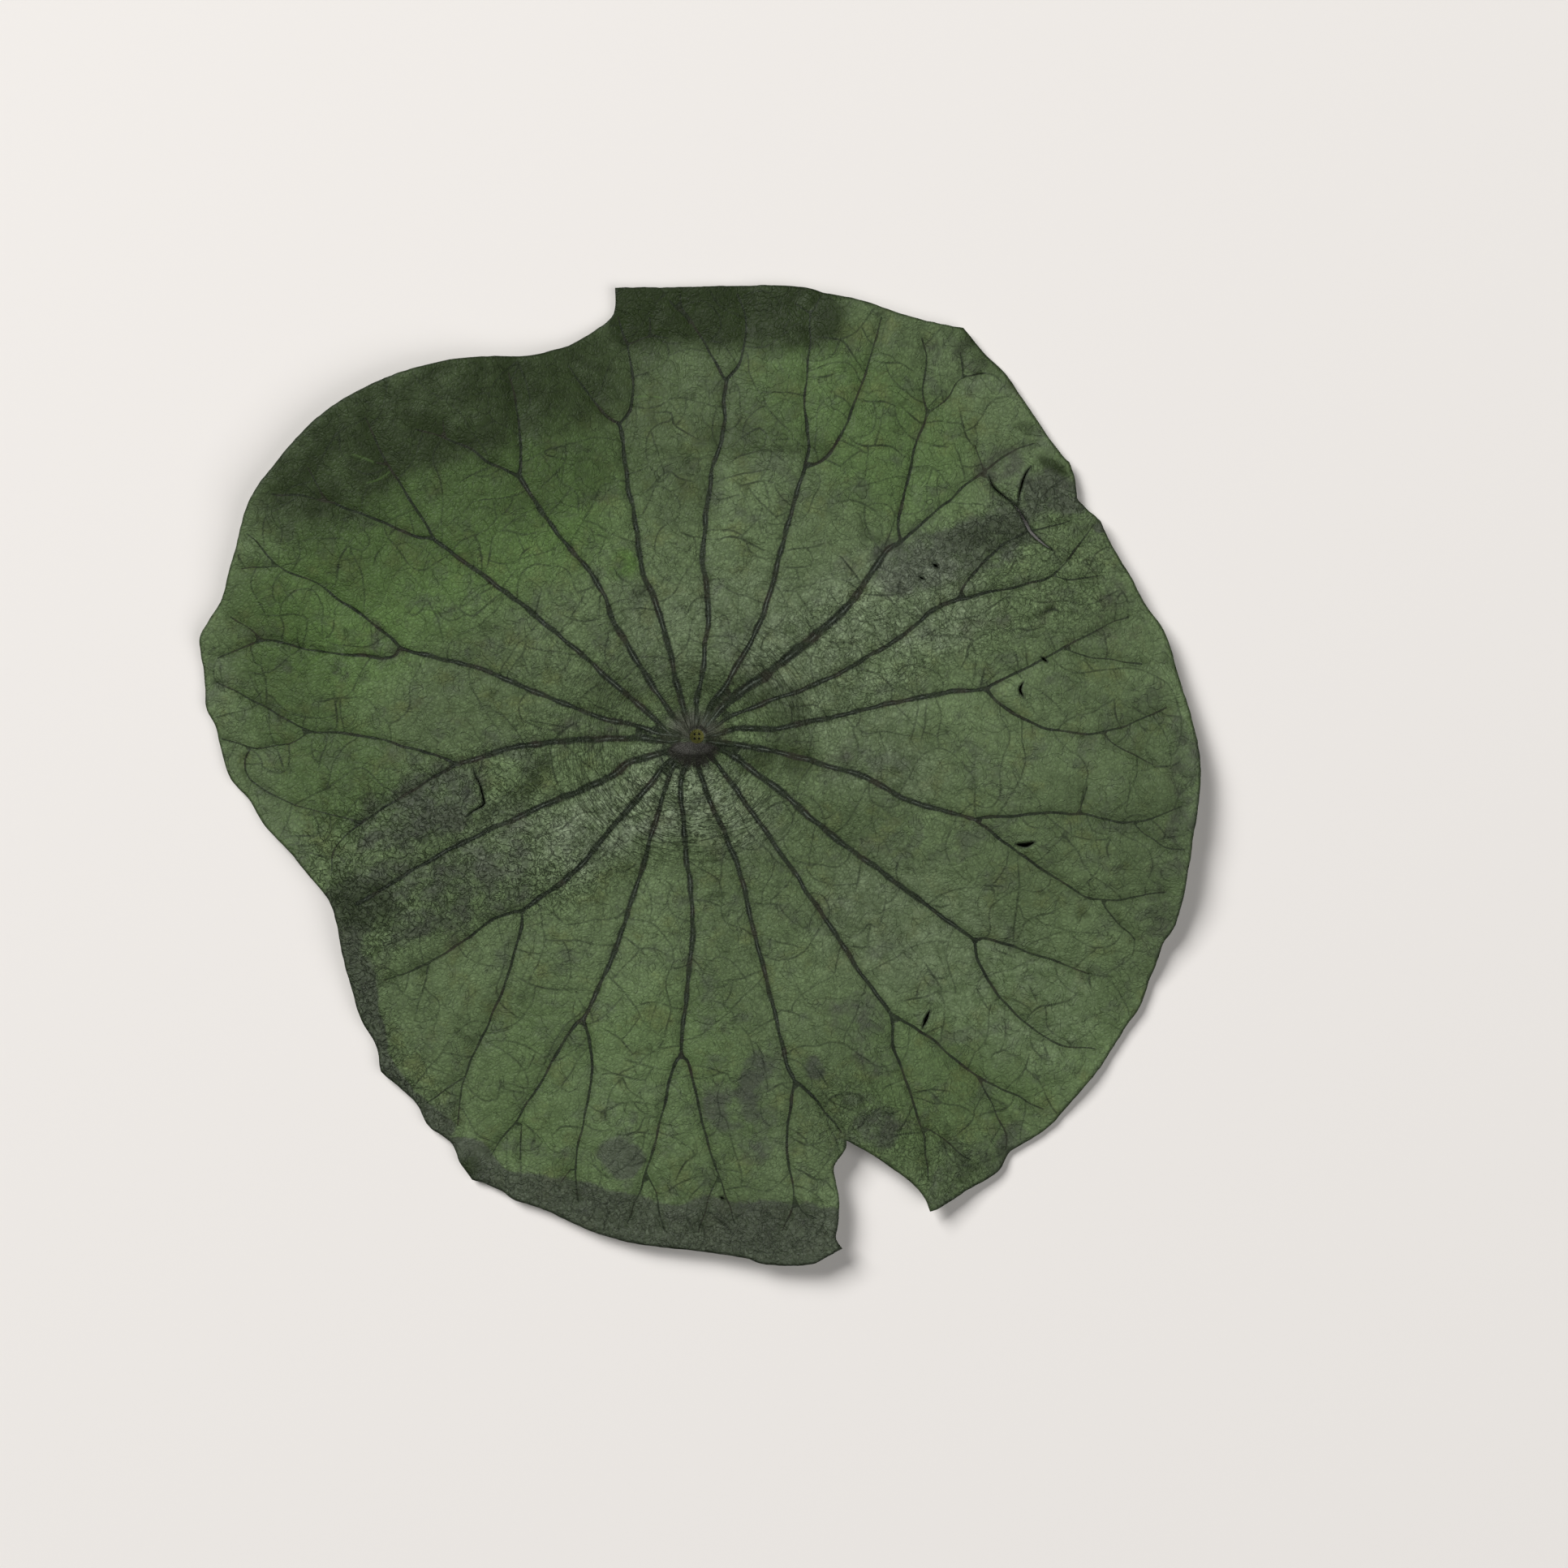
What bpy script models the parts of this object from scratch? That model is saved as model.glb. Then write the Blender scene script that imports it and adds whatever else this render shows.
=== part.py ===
"""A preserved lotus leaf, cut with a short stub of its stalk and lying face up on a table.

It grew as one piece, so it is one solid: the blade, its veins, the raised hub and the stub of the
stalk under it. Sizes are in metres and +Z is up. The origin is on the table, under the middle of
the leaf. The lists of points are in millimetres from the hub, with +Y towards the flat top margin.
"""

import math

import bmesh
import bpy
from mathutils import Vector
from mathutils.geometry import delaunay_2d_cdt
from mathutils.kdtree import KDTree

MM = 0.001

# Driving dimensions. The leaf is 247 mm wide and 242 mm from top to bottom.
MIDDLE = Vector((1.2, -8.3)) * MM  # middle of the leaf's box, from the hub
BLADE_THICKNESS = 0.55 * MM
HUB_THICKNESS = 2.6 * MM
RIB_DEPTH_AT_HUB = 1.6 * MM
RIB_DEPTH_AT_TIP = 0.25 * MM
GROOVE_DEPTH = 0.45 * MM
GROOVE_HALF_WIDTH = 1.3 * MM
STUB_RADIUS = 3.4 * MM
STUB_FLARE_RADIUS = 4.6 * MM
HUB_TOP = 6.2 * MM  # upper face of the blade beside the hub, above the table
HUB_BOSS_HEIGHT = 1.3 * MM
HUB_BOSS_RADIUS = 6.5 * MM

# How the blade lies: low crown, drooping margin, and waves that grow towards the margin.
LEAF_RADIUS = 122 * MM
CROWN_HEIGHT = 1.2 * MM
DROOP = 3.6 * MM
MARGIN_WAVES = ((2, 2.0 * MM, 2.6), (3, 2.6 * MM, 0.5), (5, 3.0 * MM, 2.2), (8, 1.4 * MM, 4.1))
PILLOW_HEIGHT = 0.9 * MM  # how far the blade stands up between two veins
PILLOW_REACH = 5.0 * MM
PILLOW_STARTS = 34 * MM
REST_LEVEL = 1.3 * MM  # upper face where a lobe of the margin lies on the table
REST_SOFTNESS = 1.1 * MM

# How finely the blade is faceted.
MARGIN_SPACING = 5.0 * MM
VEIN_SPACING = 6.0 * MM
PANEL_SPACING = 9.0 * MM
PANEL_CLEARANCE = 3.6 * MM
MARGIN_CLEARANCE = 2.4 * MM
GROOVES_START = 9.0 * MM
FORK_CLEARANCE = 3.2 * MM
SAME_POINT = 0.001 * MM
PANEL_GRID_REACH = 135 * MM  # past the farthest point of the margin
STEPS_BETWEEN_POINTS = 12
STUB_SIDES = 24

# The margin, clockwise from above. Each run is a smooth curve, and runs meet in a corner.
MARGIN_RUNS_MM = (
    # Nip above the flat top margin's left end, then the top margin.
    ((-31, 97.4), (-27.2, 99.8), (-21, 104.2), (-19.6, 107.4), (-19.6, 112)),
    ((-19.6, 112), (-7, 112.2), (9, 112.5), (19, 112.6), (26, 112.2), (33, 110.6), (43, 108.2),
     (53, 104.8), (62.8, 102.6), (66.6, 102)),
    # Right margin down to the short step beside the torn midline end.
    ((66.6, 102), (71.6, 96), (77.2, 90.6), (81, 84.8), (85.8, 77.8), (91, 70.6), (92.8, 68.8)),
    ((92.8, 68.8), (94.2, 65.2), (94.6, 61.2), (95.2, 59), (100.4, 54.2)),
    ((100.4, 54.2), (103, 48.6), (107.2, 41.4), (111.6, 33.4), (116.4, 26.2), (119.6, 15.2),
     (122.6, 5.8), (124.4, -3), (124.6, -12.4), (123, -22.8), (121.8, -31.6), (119, -44.8),
     (115.8, -50.4), (113.2, -57.8), (110.2, -66.2), (106.4, -71.6), (102.6, -77.8),
     (98.2, -83.8), (92.6, -90.4), (87, -96.4), (81.6, -99.8)),
    ((81.6, -99.8), (78.2, -102), (76, -105.8), (72.8, -108.4), (67.2, -111.4), (61, -115.2),
     (58.2, -116.2)),
    # The tear at the lower right: up its right side, then down its left side.
    ((58.2, -116.2), (56.8, -112.8), (53.4, -109), (46.8, -104), (42.4, -101.2), (37.6, -98.6)),
    ((37.6, -98.6), (37.4, -100.8), (34.6, -104.8), (35, -108.8), (35.8, -113.2), (35.6, -119.2),
     (35, -122.6), (36.6, -125.2)),
    # Bottom margin.
    ((36.6, -125.2), (33.6, -126.8), (28.4, -129.1), (18.2, -129.2), (11.8, -127.4), (2, -126.2),
     (-12.8, -124.6), (-18, -123.6), (-26, -121), (-37.4, -116), (-44.6, -113.6), (-48.2, -111.2),
     (-55, -108.8)),
    # Left margin up to the pinch where the midline ends.
    ((-55, -108.8), (-57.8, -104.8), (-60.2, -99.6), (-65.8, -95.4), (-69.4, -89.2),
     (-77.6, -82)),
    ((-77.6, -82), (-78.8, -75.6), (-82.6, -68.4), (-84.2, -62.8), (-86.4, -54.2), (-88, -45.6)),
    # Left margin from the pinch to the nip.
    ((-88, -45.6), (-89.8, -39.8), (-94.8, -33.6), (-100.2, -27.2), (-106.2, -21.2),
     (-110.2, -14.8), (-114.6, -9.6), (-117, -3), (-118.6, 3.6), (-120.8, 8), (-121.2, 15.2),
     (-122.2, 23.4), (-121.2, 27.4), (-116.8, 34.2), (-114.6, 40.8), (-112.6, 48),
     (-110.4, 55.8), (-106, 63.8), (-96, 75.8), (-89, 81.8), (-77, 88.4), (-65, 92.4),
     (-53, 94.4), (-41, 94.8), (-31, 97.4)),
)

# The eighteen main veins, clockwise from the top: the trunk, then the branches that it forks into.
VEINS_MM = (
    (((-3.6, 11.4), (-5.8, 21.2), (-9, 33.4), (-12.4, 40.4), (-14.2, 51.4), (-18.4, 78)),
     ((-21.2, 79.6), (-26, 85.4), (-31, 92.4)),
     ((-15.4, 83.4), (-15.8, 94.4), (-18, 102), (-19.4, 105.4))),
    (((1.2, 11.4), (2.8, 22.4), (3.6, 33.4), (2.2, 44.8), (4.4, 65.2), (7, 75), (7.8, 88.8)),
     ((4.8, 94.4), (0.8, 101.6), (-2.8, 106.4), (-3.2, 110.4)),
     ((11.4, 93.8), (12.8, 103.2), (10.8, 110.4))),
    (((5.2, 10.2), (8.6, 14.6), (14, 24), (18, 33.4), (21, 45.2), (24, 56.4), (27.4, 66.8)),
     ((28.2, 72.8), (27.4, 83.4), (28.4, 94.4), (28.8, 105.4)),
     ((33.4, 70.6), (39, 81.2), (42.2, 90), (46.4, 104.4))),
    (((7.6, 8.6), (20.2, 18), (29.6, 25.6), (38.4, 33.4), (47.4, 46.4), (51.2, 48.8)),
     ((50.4, 53.4), (51.2, 58), (54.8, 72.8), (57.6, 80), (56.6, 85.4), (57.4, 94.4),
      (56.4, 99.4)),
     ((59.6, 56.4), (71.6, 66.6), (78.2, 71.4), (83.8, 73.2))),
    (((10.2, 6.4), (25.2, 12), (36.2, 16.8), (51.2, 25.6), (59, 31.8), (65, 34.8)),
     ((66.6, 38.2), (73.4, 45.8), (81, 50.8), (92.6, 54.2)),
     ((69.4, 35.6), (79.4, 37.8), (88.2, 40.8), (98.6, 53))),
    (((11.4, 2.8), (21.2, 3), (40, 7.2), (59.6, 11.4), (71.6, 12.4)),
     ((75, 14.2), (82.6, 18), (99.8, 27.4), (107, 30.4)),
     ((78.8, 6.4), (87, 3), (100.4, 1.8), (116.4, 8))),
    (((10.2, -1), (18.6, -2.6), (40, -8.4), (53, -14.8), (69, -19.2)),
     ((77.2, -18.6), (94.8, -18.2), (108, -20.4), (120, -16.4)),
     ((77.2, -25.6), (91, -35.2), (100.4, -39.4), (115.8, -37.6))),
    (((7, -2.4), (19.6, -11.2), (35, -24.2), (54.6, -38.6), (69.2, -49.2)),
     ((72.8, -49.2), (81.6, -52), (97.6, -57.6)),
     ((70.6, -55.2), (76.6, -64.8), (88.8, -74.6), (99.2, -76.4))),
    (((4.8, -4.6), (14.2, -17.4), (29, -38.8), (41.6, -57.8), (48.6, -67.2)),
     ((49.6, -76.6), (56, -95.4), (57.8, -108.6)),
     ((59.6, -74.4), (70, -83), (86.6, -91.4))),
    (((2.2, -10.6), (10.2, -29.4), (15.6, -49.2), (21.2, -72.8), (24.6, -83.8)),
     ((23, -98.6), (24.6, -112.4), (21.8, -120.8)),
     ((27.4, -86), (32.8, -92), (36.2, -96.4))),
    (((-3, -10.6), (-2.4, -21.8), (-0.2, -46), (-2.4, -67.2), (-3, -77.6)),
     ((-5.2, -81), (-10.4, -102.6), (-16.4, -119)),
     ((-0.8, -81), (4, -100.8), (10.2, -119))),
    (((-5.8, -8.4), (-12.4, -31), (-19.4, -51.6), (-27.2, -68.6)),
     ((-30.6, -72.2), (-40.8, -89.2), (-50.6, -102.6)),
     ((-25, -81.6), (-28.8, -102.6), (-28.6, -114))),
    (((-8.4, -8), (-22.8, -25), (-31, -33.8), (-42.4, -41.8)),
     ((-49.4, -44.4), (-63.2, -53.8), (-76.4, -59.2)),
     ((-42.8, -47.6), (-48.4, -64.4), (-56.6, -83.2), (-58.4, -95.4))),
    (((-5.2, -2.4), (-15, -5.2), (-22.8, -10.2), (-41, -17.8), (-62.8, -28.4), (-83.2, -40.4)),),
    (((-5.8, -0.4), (-14.6, 0.6), (-39.2, -1), (-58.8, -6)),
     ((-62.8, -4), (-83.2, 1.4), (-94.6, 2.2), (-106.8, 8.6), (-118, 14.4)),
     ((-62.2, -8.2), (-77.6, -17.6), (-87.6, -25), (-89.2, -32.2))),
    (((-11.2, 2.6), (-28.4, 7.6), (-51.2, 16.8), (-72, 22.6)),
     ((-76.4, 26.8), (-93, 38.6), (-101.8, 42.6), (-109.6, 50.8)),
     ((-76, 20.4), (-95.8, 22.4), (-105.8, 24.6), (-117.8, 20.2))),
    (((-6.8, 2.6), (-23.4, 17.4), (-43.4, 34.2), (-63.8, 49.2)),
     ((-66.6, 54.2), (-74.8, 67.4), (-80.6, 79.4)),
     ((-71, 51), (-89.8, 58.6), (-103.4, 60.4))),
    (((-5.8, 7), (-18.4, 26.8), (-23.4, 38.2), (-36, 54.2), (-42.8, 64.8)),
     ((-42.4, 69), (-43.8, 82.4), (-45.4, 90.4)),
     ((-49.4, 67.8), (-56.6, 72.6), (-68.2, 76.4))),
)


def clear_scene():
    """Remove every object of the startup scene."""
    for thing in list(bpy.data.objects):
        bpy.data.objects.remove(thing)


def add_collection(name):
    """A new collection in the scene."""
    collection = bpy.data.collections.new(name)
    bpy.context.scene.collection.children.link(collection)
    return collection


def leaf_material():
    """Dyed, glycerine-kept leaf: dull grey green with a faint waxy sheen."""
    material = bpy.data.materials.new("preserved leaf")
    material.use_nodes = True
    shader = material.node_tree.nodes["Principled BSDF"]
    shader.inputs["Base Color"].default_value = (0.083, 0.125, 0.055, 1)
    shader.inputs["Roughness"].default_value = 0.55
    shader.inputs["Metallic"].default_value = 0
    return material


def from_hub(pair_mm):
    """A point of the lists above, in metres from the middle of the leaf."""
    return Vector(pair_mm) * MM - MIDDLE


def curve_through(points, spacing):
    """Points about one spacing apart on a smooth curve through the given ones, ends kept."""
    padded = [2 * points[0] - points[1], *points, 2 * points[-1] - points[-2]]
    fine = [points[0]]
    for before, start, end, after in zip(padded, padded[1:], padded[2:], padded[3:]):
        for step in range(1, STEPS_BETWEEN_POINTS + 1):
            t = step / STEPS_BETWEEN_POINTS
            fine.append(0.5 * (
                2 * start
                + (end - before) * t
                + (2 * before - 5 * start + 4 * end - after) * t**2
                + (3 * start - before - 3 * end + after) * t**3
            ))
    lengths = [0.0]
    for start, end in zip(fine, fine[1:]):
        lengths.append(lengths[-1] + (end - start).length)
    count = max(1, round(lengths[-1] / spacing))
    even = [points[0]]
    place = 0
    for index in range(1, count):
        wanted = lengths[-1] * index / count
        while lengths[place + 1] < wanted:
            place += 1
        share = (wanted - lengths[place]) / (lengths[place + 1] - lengths[place])
        even.append(fine[place].lerp(fine[place + 1], share))
    even.append(points[-1])
    return even


def margin_loop():
    """The leaf's outline as one closed loop of points."""
    loop = []
    for run in MARGIN_RUNS_MM:
        loop.extend(curve_through([from_hub(pair) for pair in run], MARGIN_SPACING)[:-1])
    return loop


def vein_lines():
    """Every trunk and branch as evenly spaced points, branches starting on their fork."""
    lines = []
    for trunk, *branches in VEINS_MM:
        lines.append(curve_through([from_hub(pair) for pair in trunk], VEIN_SPACING))
        for branch in branches:
            route = [from_hub(pair) for pair in (trunk[-1], *branch)]
            lines.append(curve_through(route, VEIN_SPACING))
    return lines


def finder(points):
    """A tree that finds the nearest of the given flat points."""
    tree = KDTree(len(points))
    for index, point in enumerate(points):
        tree.insert(point.to_3d(), index)
    tree.balance()
    return tree


def distance(tree, point):
    """How far the point is from the nearest one in the tree."""
    return tree.find(point.to_3d())[2]


def filled_in(line, gap=0.5 * MM):
    """The straight-sided line as points close together, to measure distances from."""
    points = []
    for start, end in zip(line, line[1:]):
        count = max(1, math.ceil((end - start).length / gap))
        points.extend(start.lerp(end, step / count) for step in range(count))
    points.append(line[-1])
    return points


def side_line(line, offset):
    """The line moved sideways by the offset."""
    moved = []
    for index, point in enumerate(line):
        along = line[min(index + 1, len(line) - 1)] - line[max(index - 1, 0)]
        along.normalize()
        moved.append(point + offset * Vector((-along.y, along.x)))
    return moved


class FlatPattern:
    """The points and edges that the blade is triangulated from, seen from above."""

    def __init__(self, margin, lines):
        self.points = list(margin)
        self.edges = []
        self.margin_count = len(margin)
        self.margin_tree = finder(filled_in([*margin, margin[0]]))
        self.line_starts = [line[0] for line in lines]
        self.add_veins(lines)
        self.add_panels()

    def add_line(self, line, keep):
        """Add the stretches of a line whose points may be kept."""
        last = None
        for point in line:
            if not keep(point):
                last = None
                continue
            self.points.append(point)
            if last is not None:
                self.edges.append((last, len(self.points) - 1))
            last = len(self.points) - 1

    def add_veins(self, lines):
        """Add each vein's bottom line and the two lips of its groove."""
        self.vein_tree = finder([point for line in lines for point in filled_in(line)])
        hub = -MIDDLE

        def inside(point):
            clear = (point - hub).length > GROOVES_START
            return clear and distance(self.margin_tree, point) > MARGIN_CLEARANCE

        def lip_is_clear(point):
            off_other_veins = distance(self.vein_tree, point) > 0.9 * GROOVE_HALF_WIDTH
            off_forks = all((point - fork).length > FORK_CLEARANCE for fork in self.line_starts)
            return off_other_veins and off_forks and inside(point)

        for line in lines:
            self.add_line(line, inside)
        for line in lines:
            for offset in (-GROOVE_HALF_WIDTH, GROOVE_HALF_WIDTH):
                self.add_line(side_line(line, offset), lip_is_clear)

    def add_panels(self):
        """Fill the panels between the veins with a triangular grid of points."""
        taken = finder(self.points)
        row_height = PANEL_SPACING * math.sqrt(3) / 2
        rows = math.ceil(PANEL_GRID_REACH / row_height)
        columns = math.ceil(PANEL_GRID_REACH / PANEL_SPACING)
        for row in range(-rows, rows + 1):
            for column in range(-columns, columns + 1):
                shift = 0.5 * (row % 2)  # every other row sits between the points of the last
                point = Vector(((column + shift) * PANEL_SPACING, row * row_height))
                if distance(taken, point) > PANEL_CLEARANCE:
                    self.points.append(point)

    def triangulated(self):
        """Points and triangles inside the margin."""
        outline = list(reversed(range(self.margin_count)))
        only_inside = 1
        points, _, triangles, *_ = delaunay_2d_cdt(
            self.points, self.edges, [outline], only_inside, SAME_POINT
        )
        return points, triangles


def lying_height(point):
    """Height of the blade's upper face at a flat point, before veins shape it."""
    out = point + MIDDLE
    reach = out.length / LEAF_RADIUS
    angle = math.atan2(out.y, out.x)
    waves = sum(size * math.sin(count * angle + turn) for count, size, turn in MARGIN_WAVES)
    crown = CROWN_HEIGHT * math.sin(math.pi * min(reach, 1))
    free = HUB_TOP - REST_LEVEL + crown + (waves - DROOP) * reach**2
    return REST_LEVEL + 0.5 * (free + math.sqrt(free**2 + REST_SOFTNESS**2))


def top_height(point, from_vein):
    """Height of the blade's upper face, with the pillowed panels, the grooves and the hub."""
    out = (point + MIDDLE).length
    pillow = PILLOW_HEIGHT * (1 - math.exp(-from_vein / PILLOW_REACH)) * min(1, out / PILLOW_STARTS)
    groove = GROOVE_DEPTH * max(0, 1 - from_vein / GROOVE_HALF_WIDTH)
    boss = HUB_BOSS_HEIGHT * max(0, 1 - (out / HUB_BOSS_RADIUS) ** 2)
    return lying_height(point) + pillow - groove + boss


def thickness(point, from_vein):
    """Thickness of the leaf, with the ribs under the veins and the thick hub."""
    out = (point + MIDDLE).length
    share = min(1, out / LEAF_RADIUS)
    rib = RIB_DEPTH_AT_HUB + (RIB_DEPTH_AT_TIP - RIB_DEPTH_AT_HUB) * share
    rib *= max(0, 1 - from_vein / GROOVE_HALF_WIDTH)
    hub = (HUB_THICKNESS - BLADE_THICKNESS) * max(0, 1 - out / GROOVES_START)
    return BLADE_THICKNESS + max(rib, hub)


def make_blade(collection, material):
    """The blade as an open upper face, given its thickness by Solidify."""
    pattern = FlatPattern(margin_loop(), vein_lines())
    flat_points, triangles = pattern.triangulated()
    sheet = bmesh.new()
    weights = sheet.verts.layers.deform.verify()
    for point in flat_points:
        from_vein = distance(pattern.vein_tree, point)
        vertex = sheet.verts.new((point.x, point.y, top_height(point, from_vein)))
        vertex[weights][0] = thickness(point, from_vein) / HUB_THICKNESS
    sheet.verts.ensure_lookup_table()
    for triangle in triangles:
        sheet.faces.new([sheet.verts[index] for index in triangle])
    outside = [vertex for vertex in sheet.verts if not vertex.link_faces]
    bmesh.ops.delete(sheet, geom=outside, context="VERTS")
    mesh = bpy.data.meshes.new("lotus_leaf")
    sheet.to_mesh(mesh)
    sheet.free()
    mesh.materials.append(material)
    mesh.shade_smooth()
    leaf = bpy.data.objects.new("lotus_leaf", mesh)
    collection.objects.link(leaf)
    group = leaf.vertex_groups.new(name="thickness")
    solidify = leaf.modifiers.new("thickness", "SOLIDIFY")
    solidify.thickness = HUB_THICKNESS
    solidify.offset = -1
    solidify.vertex_group = group.name
    return leaf


def make_stub(collection):
    """The stalk's stub: a short flared cylinder from the table up into the hub."""
    hub = -MIDDLE
    shape = bmesh.new()
    bmesh.ops.create_cone(
        shape,
        cap_ends=True,
        segments=STUB_SIDES,
        radius1=STUB_RADIUS,
        radius2=STUB_FLARE_RADIUS,
        depth=HUB_TOP,
    )
    bmesh.ops.translate(shape, verts=shape.verts, vec=(hub.x, hub.y, HUB_TOP / 2))
    mesh = bpy.data.meshes.new("stalk stub")
    shape.to_mesh(mesh)
    shape.free()
    stub = bpy.data.objects.new("stalk stub", mesh)
    stub.hide_render = True
    stub.display_type = "WIRE"
    collection.objects.link(stub)
    return stub


def main():
    """Build the leaf and join the stub of its stalk to it."""
    clear_scene()
    leaf = make_blade(add_collection("lotus leaf"), leaf_material())
    stub = make_stub(add_collection("joined shapes"))
    join = leaf.modifiers.new("stalk stub", "BOOLEAN")
    join.operation = "UNION"
    join.solver = "EXACT"
    join.object = stub


main()
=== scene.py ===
"""A preserved lotus leaf, lying face up on a pale table.

The leaf was dyed green and kept supple with glycerine. It is one piece: the blade with its veins,
the raised hub, and a short stub of the stalk underneath. Sizes are in metres and +Z is up. Lists
whose name ends in _MM are in millimetres from the hub, with +Y towards the flat top margin.
"""

import math
import random

import bpy
import numpy as np
from bpy.props import FloatProperty, FloatVectorProperty, IntProperty, PointerProperty
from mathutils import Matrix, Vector, noise
from mathutils.geometry import delaunay_2d_cdt
from mathutils.kdtree import KDTree


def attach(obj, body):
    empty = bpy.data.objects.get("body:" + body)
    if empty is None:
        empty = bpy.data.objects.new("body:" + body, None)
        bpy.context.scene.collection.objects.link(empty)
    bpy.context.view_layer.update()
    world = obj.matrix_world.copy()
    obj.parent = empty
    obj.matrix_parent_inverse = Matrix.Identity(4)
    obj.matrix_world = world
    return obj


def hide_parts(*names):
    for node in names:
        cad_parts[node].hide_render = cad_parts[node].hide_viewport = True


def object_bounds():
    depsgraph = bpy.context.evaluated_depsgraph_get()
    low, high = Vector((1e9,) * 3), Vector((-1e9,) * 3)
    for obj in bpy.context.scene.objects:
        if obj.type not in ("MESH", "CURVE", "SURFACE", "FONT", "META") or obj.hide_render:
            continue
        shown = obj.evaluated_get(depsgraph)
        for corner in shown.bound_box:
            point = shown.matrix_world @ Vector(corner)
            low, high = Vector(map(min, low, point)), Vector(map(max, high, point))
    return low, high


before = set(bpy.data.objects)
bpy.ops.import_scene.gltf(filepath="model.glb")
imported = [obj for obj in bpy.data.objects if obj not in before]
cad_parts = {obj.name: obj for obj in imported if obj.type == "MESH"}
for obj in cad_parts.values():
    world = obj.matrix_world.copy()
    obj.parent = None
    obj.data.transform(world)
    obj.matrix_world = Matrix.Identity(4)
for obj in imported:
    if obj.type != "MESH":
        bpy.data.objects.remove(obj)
SOLID_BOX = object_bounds()

bl_info = {
    "name": "Preserved lotus leaf",
    "version": (1, 0, 0),
    "blender": (4, 5, 0),
    "location": "View3D > Sidebar > Lotus Leaf",
    "description": "Makes a dyed and preserved lotus leaf, its stalk stub and a plain studio",
    "category": "Add Mesh",
}

MM = 0.001

# Where the leaf is, and how its blade lies. These are the solid leaf's own sizes.
MIDDLE = Vector((1.2, -8.3)) * MM
LEAF_RADIUS = 122 * MM
HUB_TOP = 6.2 * MM
CROWN_HEIGHT = 1.2 * MM
DROOP = 3.6 * MM
MARGIN_WAVES = ((2, 2.0 * MM, 2.6), (3, 2.6 * MM, 0.5), (5, 3.0 * MM, 2.2), (8, 1.4 * MM, 4.1))
PILLOW_HEIGHT = 0.9 * MM
PILLOW_REACH = 5.0 * MM
PILLOW_STARTS = 34 * MM
REST_LEVEL = 1.3 * MM
REST_SOFTNESS = 1.1 * MM
HUB_THICKNESS = 2.6 * MM
HUB_SPREAD = 9.0 * MM
STUB_RADIUS = 3.4 * MM
STUB_FLARE_RADIUS = 4.6 * MM

# How finely lines are drawn, and how uneven the margin and the veins are.
CURVE_STEPS = 12
VEIN_POINT_SPACING = 0.9 * MM
SPLIT_POINT_SPACING = 0.7 * MM
BROAD_NIBBLES = 7 * MM
FINE_NIBBLES = 1.8 * MM
WOBBLE_SIZE = 5 * MM
UNEVEN_SIZE = 3.5 * MM
UNEVEN_SHARE = 0.45

# A main vein starts at the hub's rim and narrows until this far from the hub. Its end and the
# branches at the fork are these shares of its half-width at the hub.
HUB_RIM = 3.8 * MM
NARROWS_UNTIL = 75 * MM
TRUNK_END_SHARE = 0.68
BRANCH_START_SHARE = 0.55

# Areas of colour have edges that wander this far, in lobes of this size.
EDGE_LOBES = 9 * MM
EDGE_WANDER = 2.6 * MM
EDGE_SEED = 6.6

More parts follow.
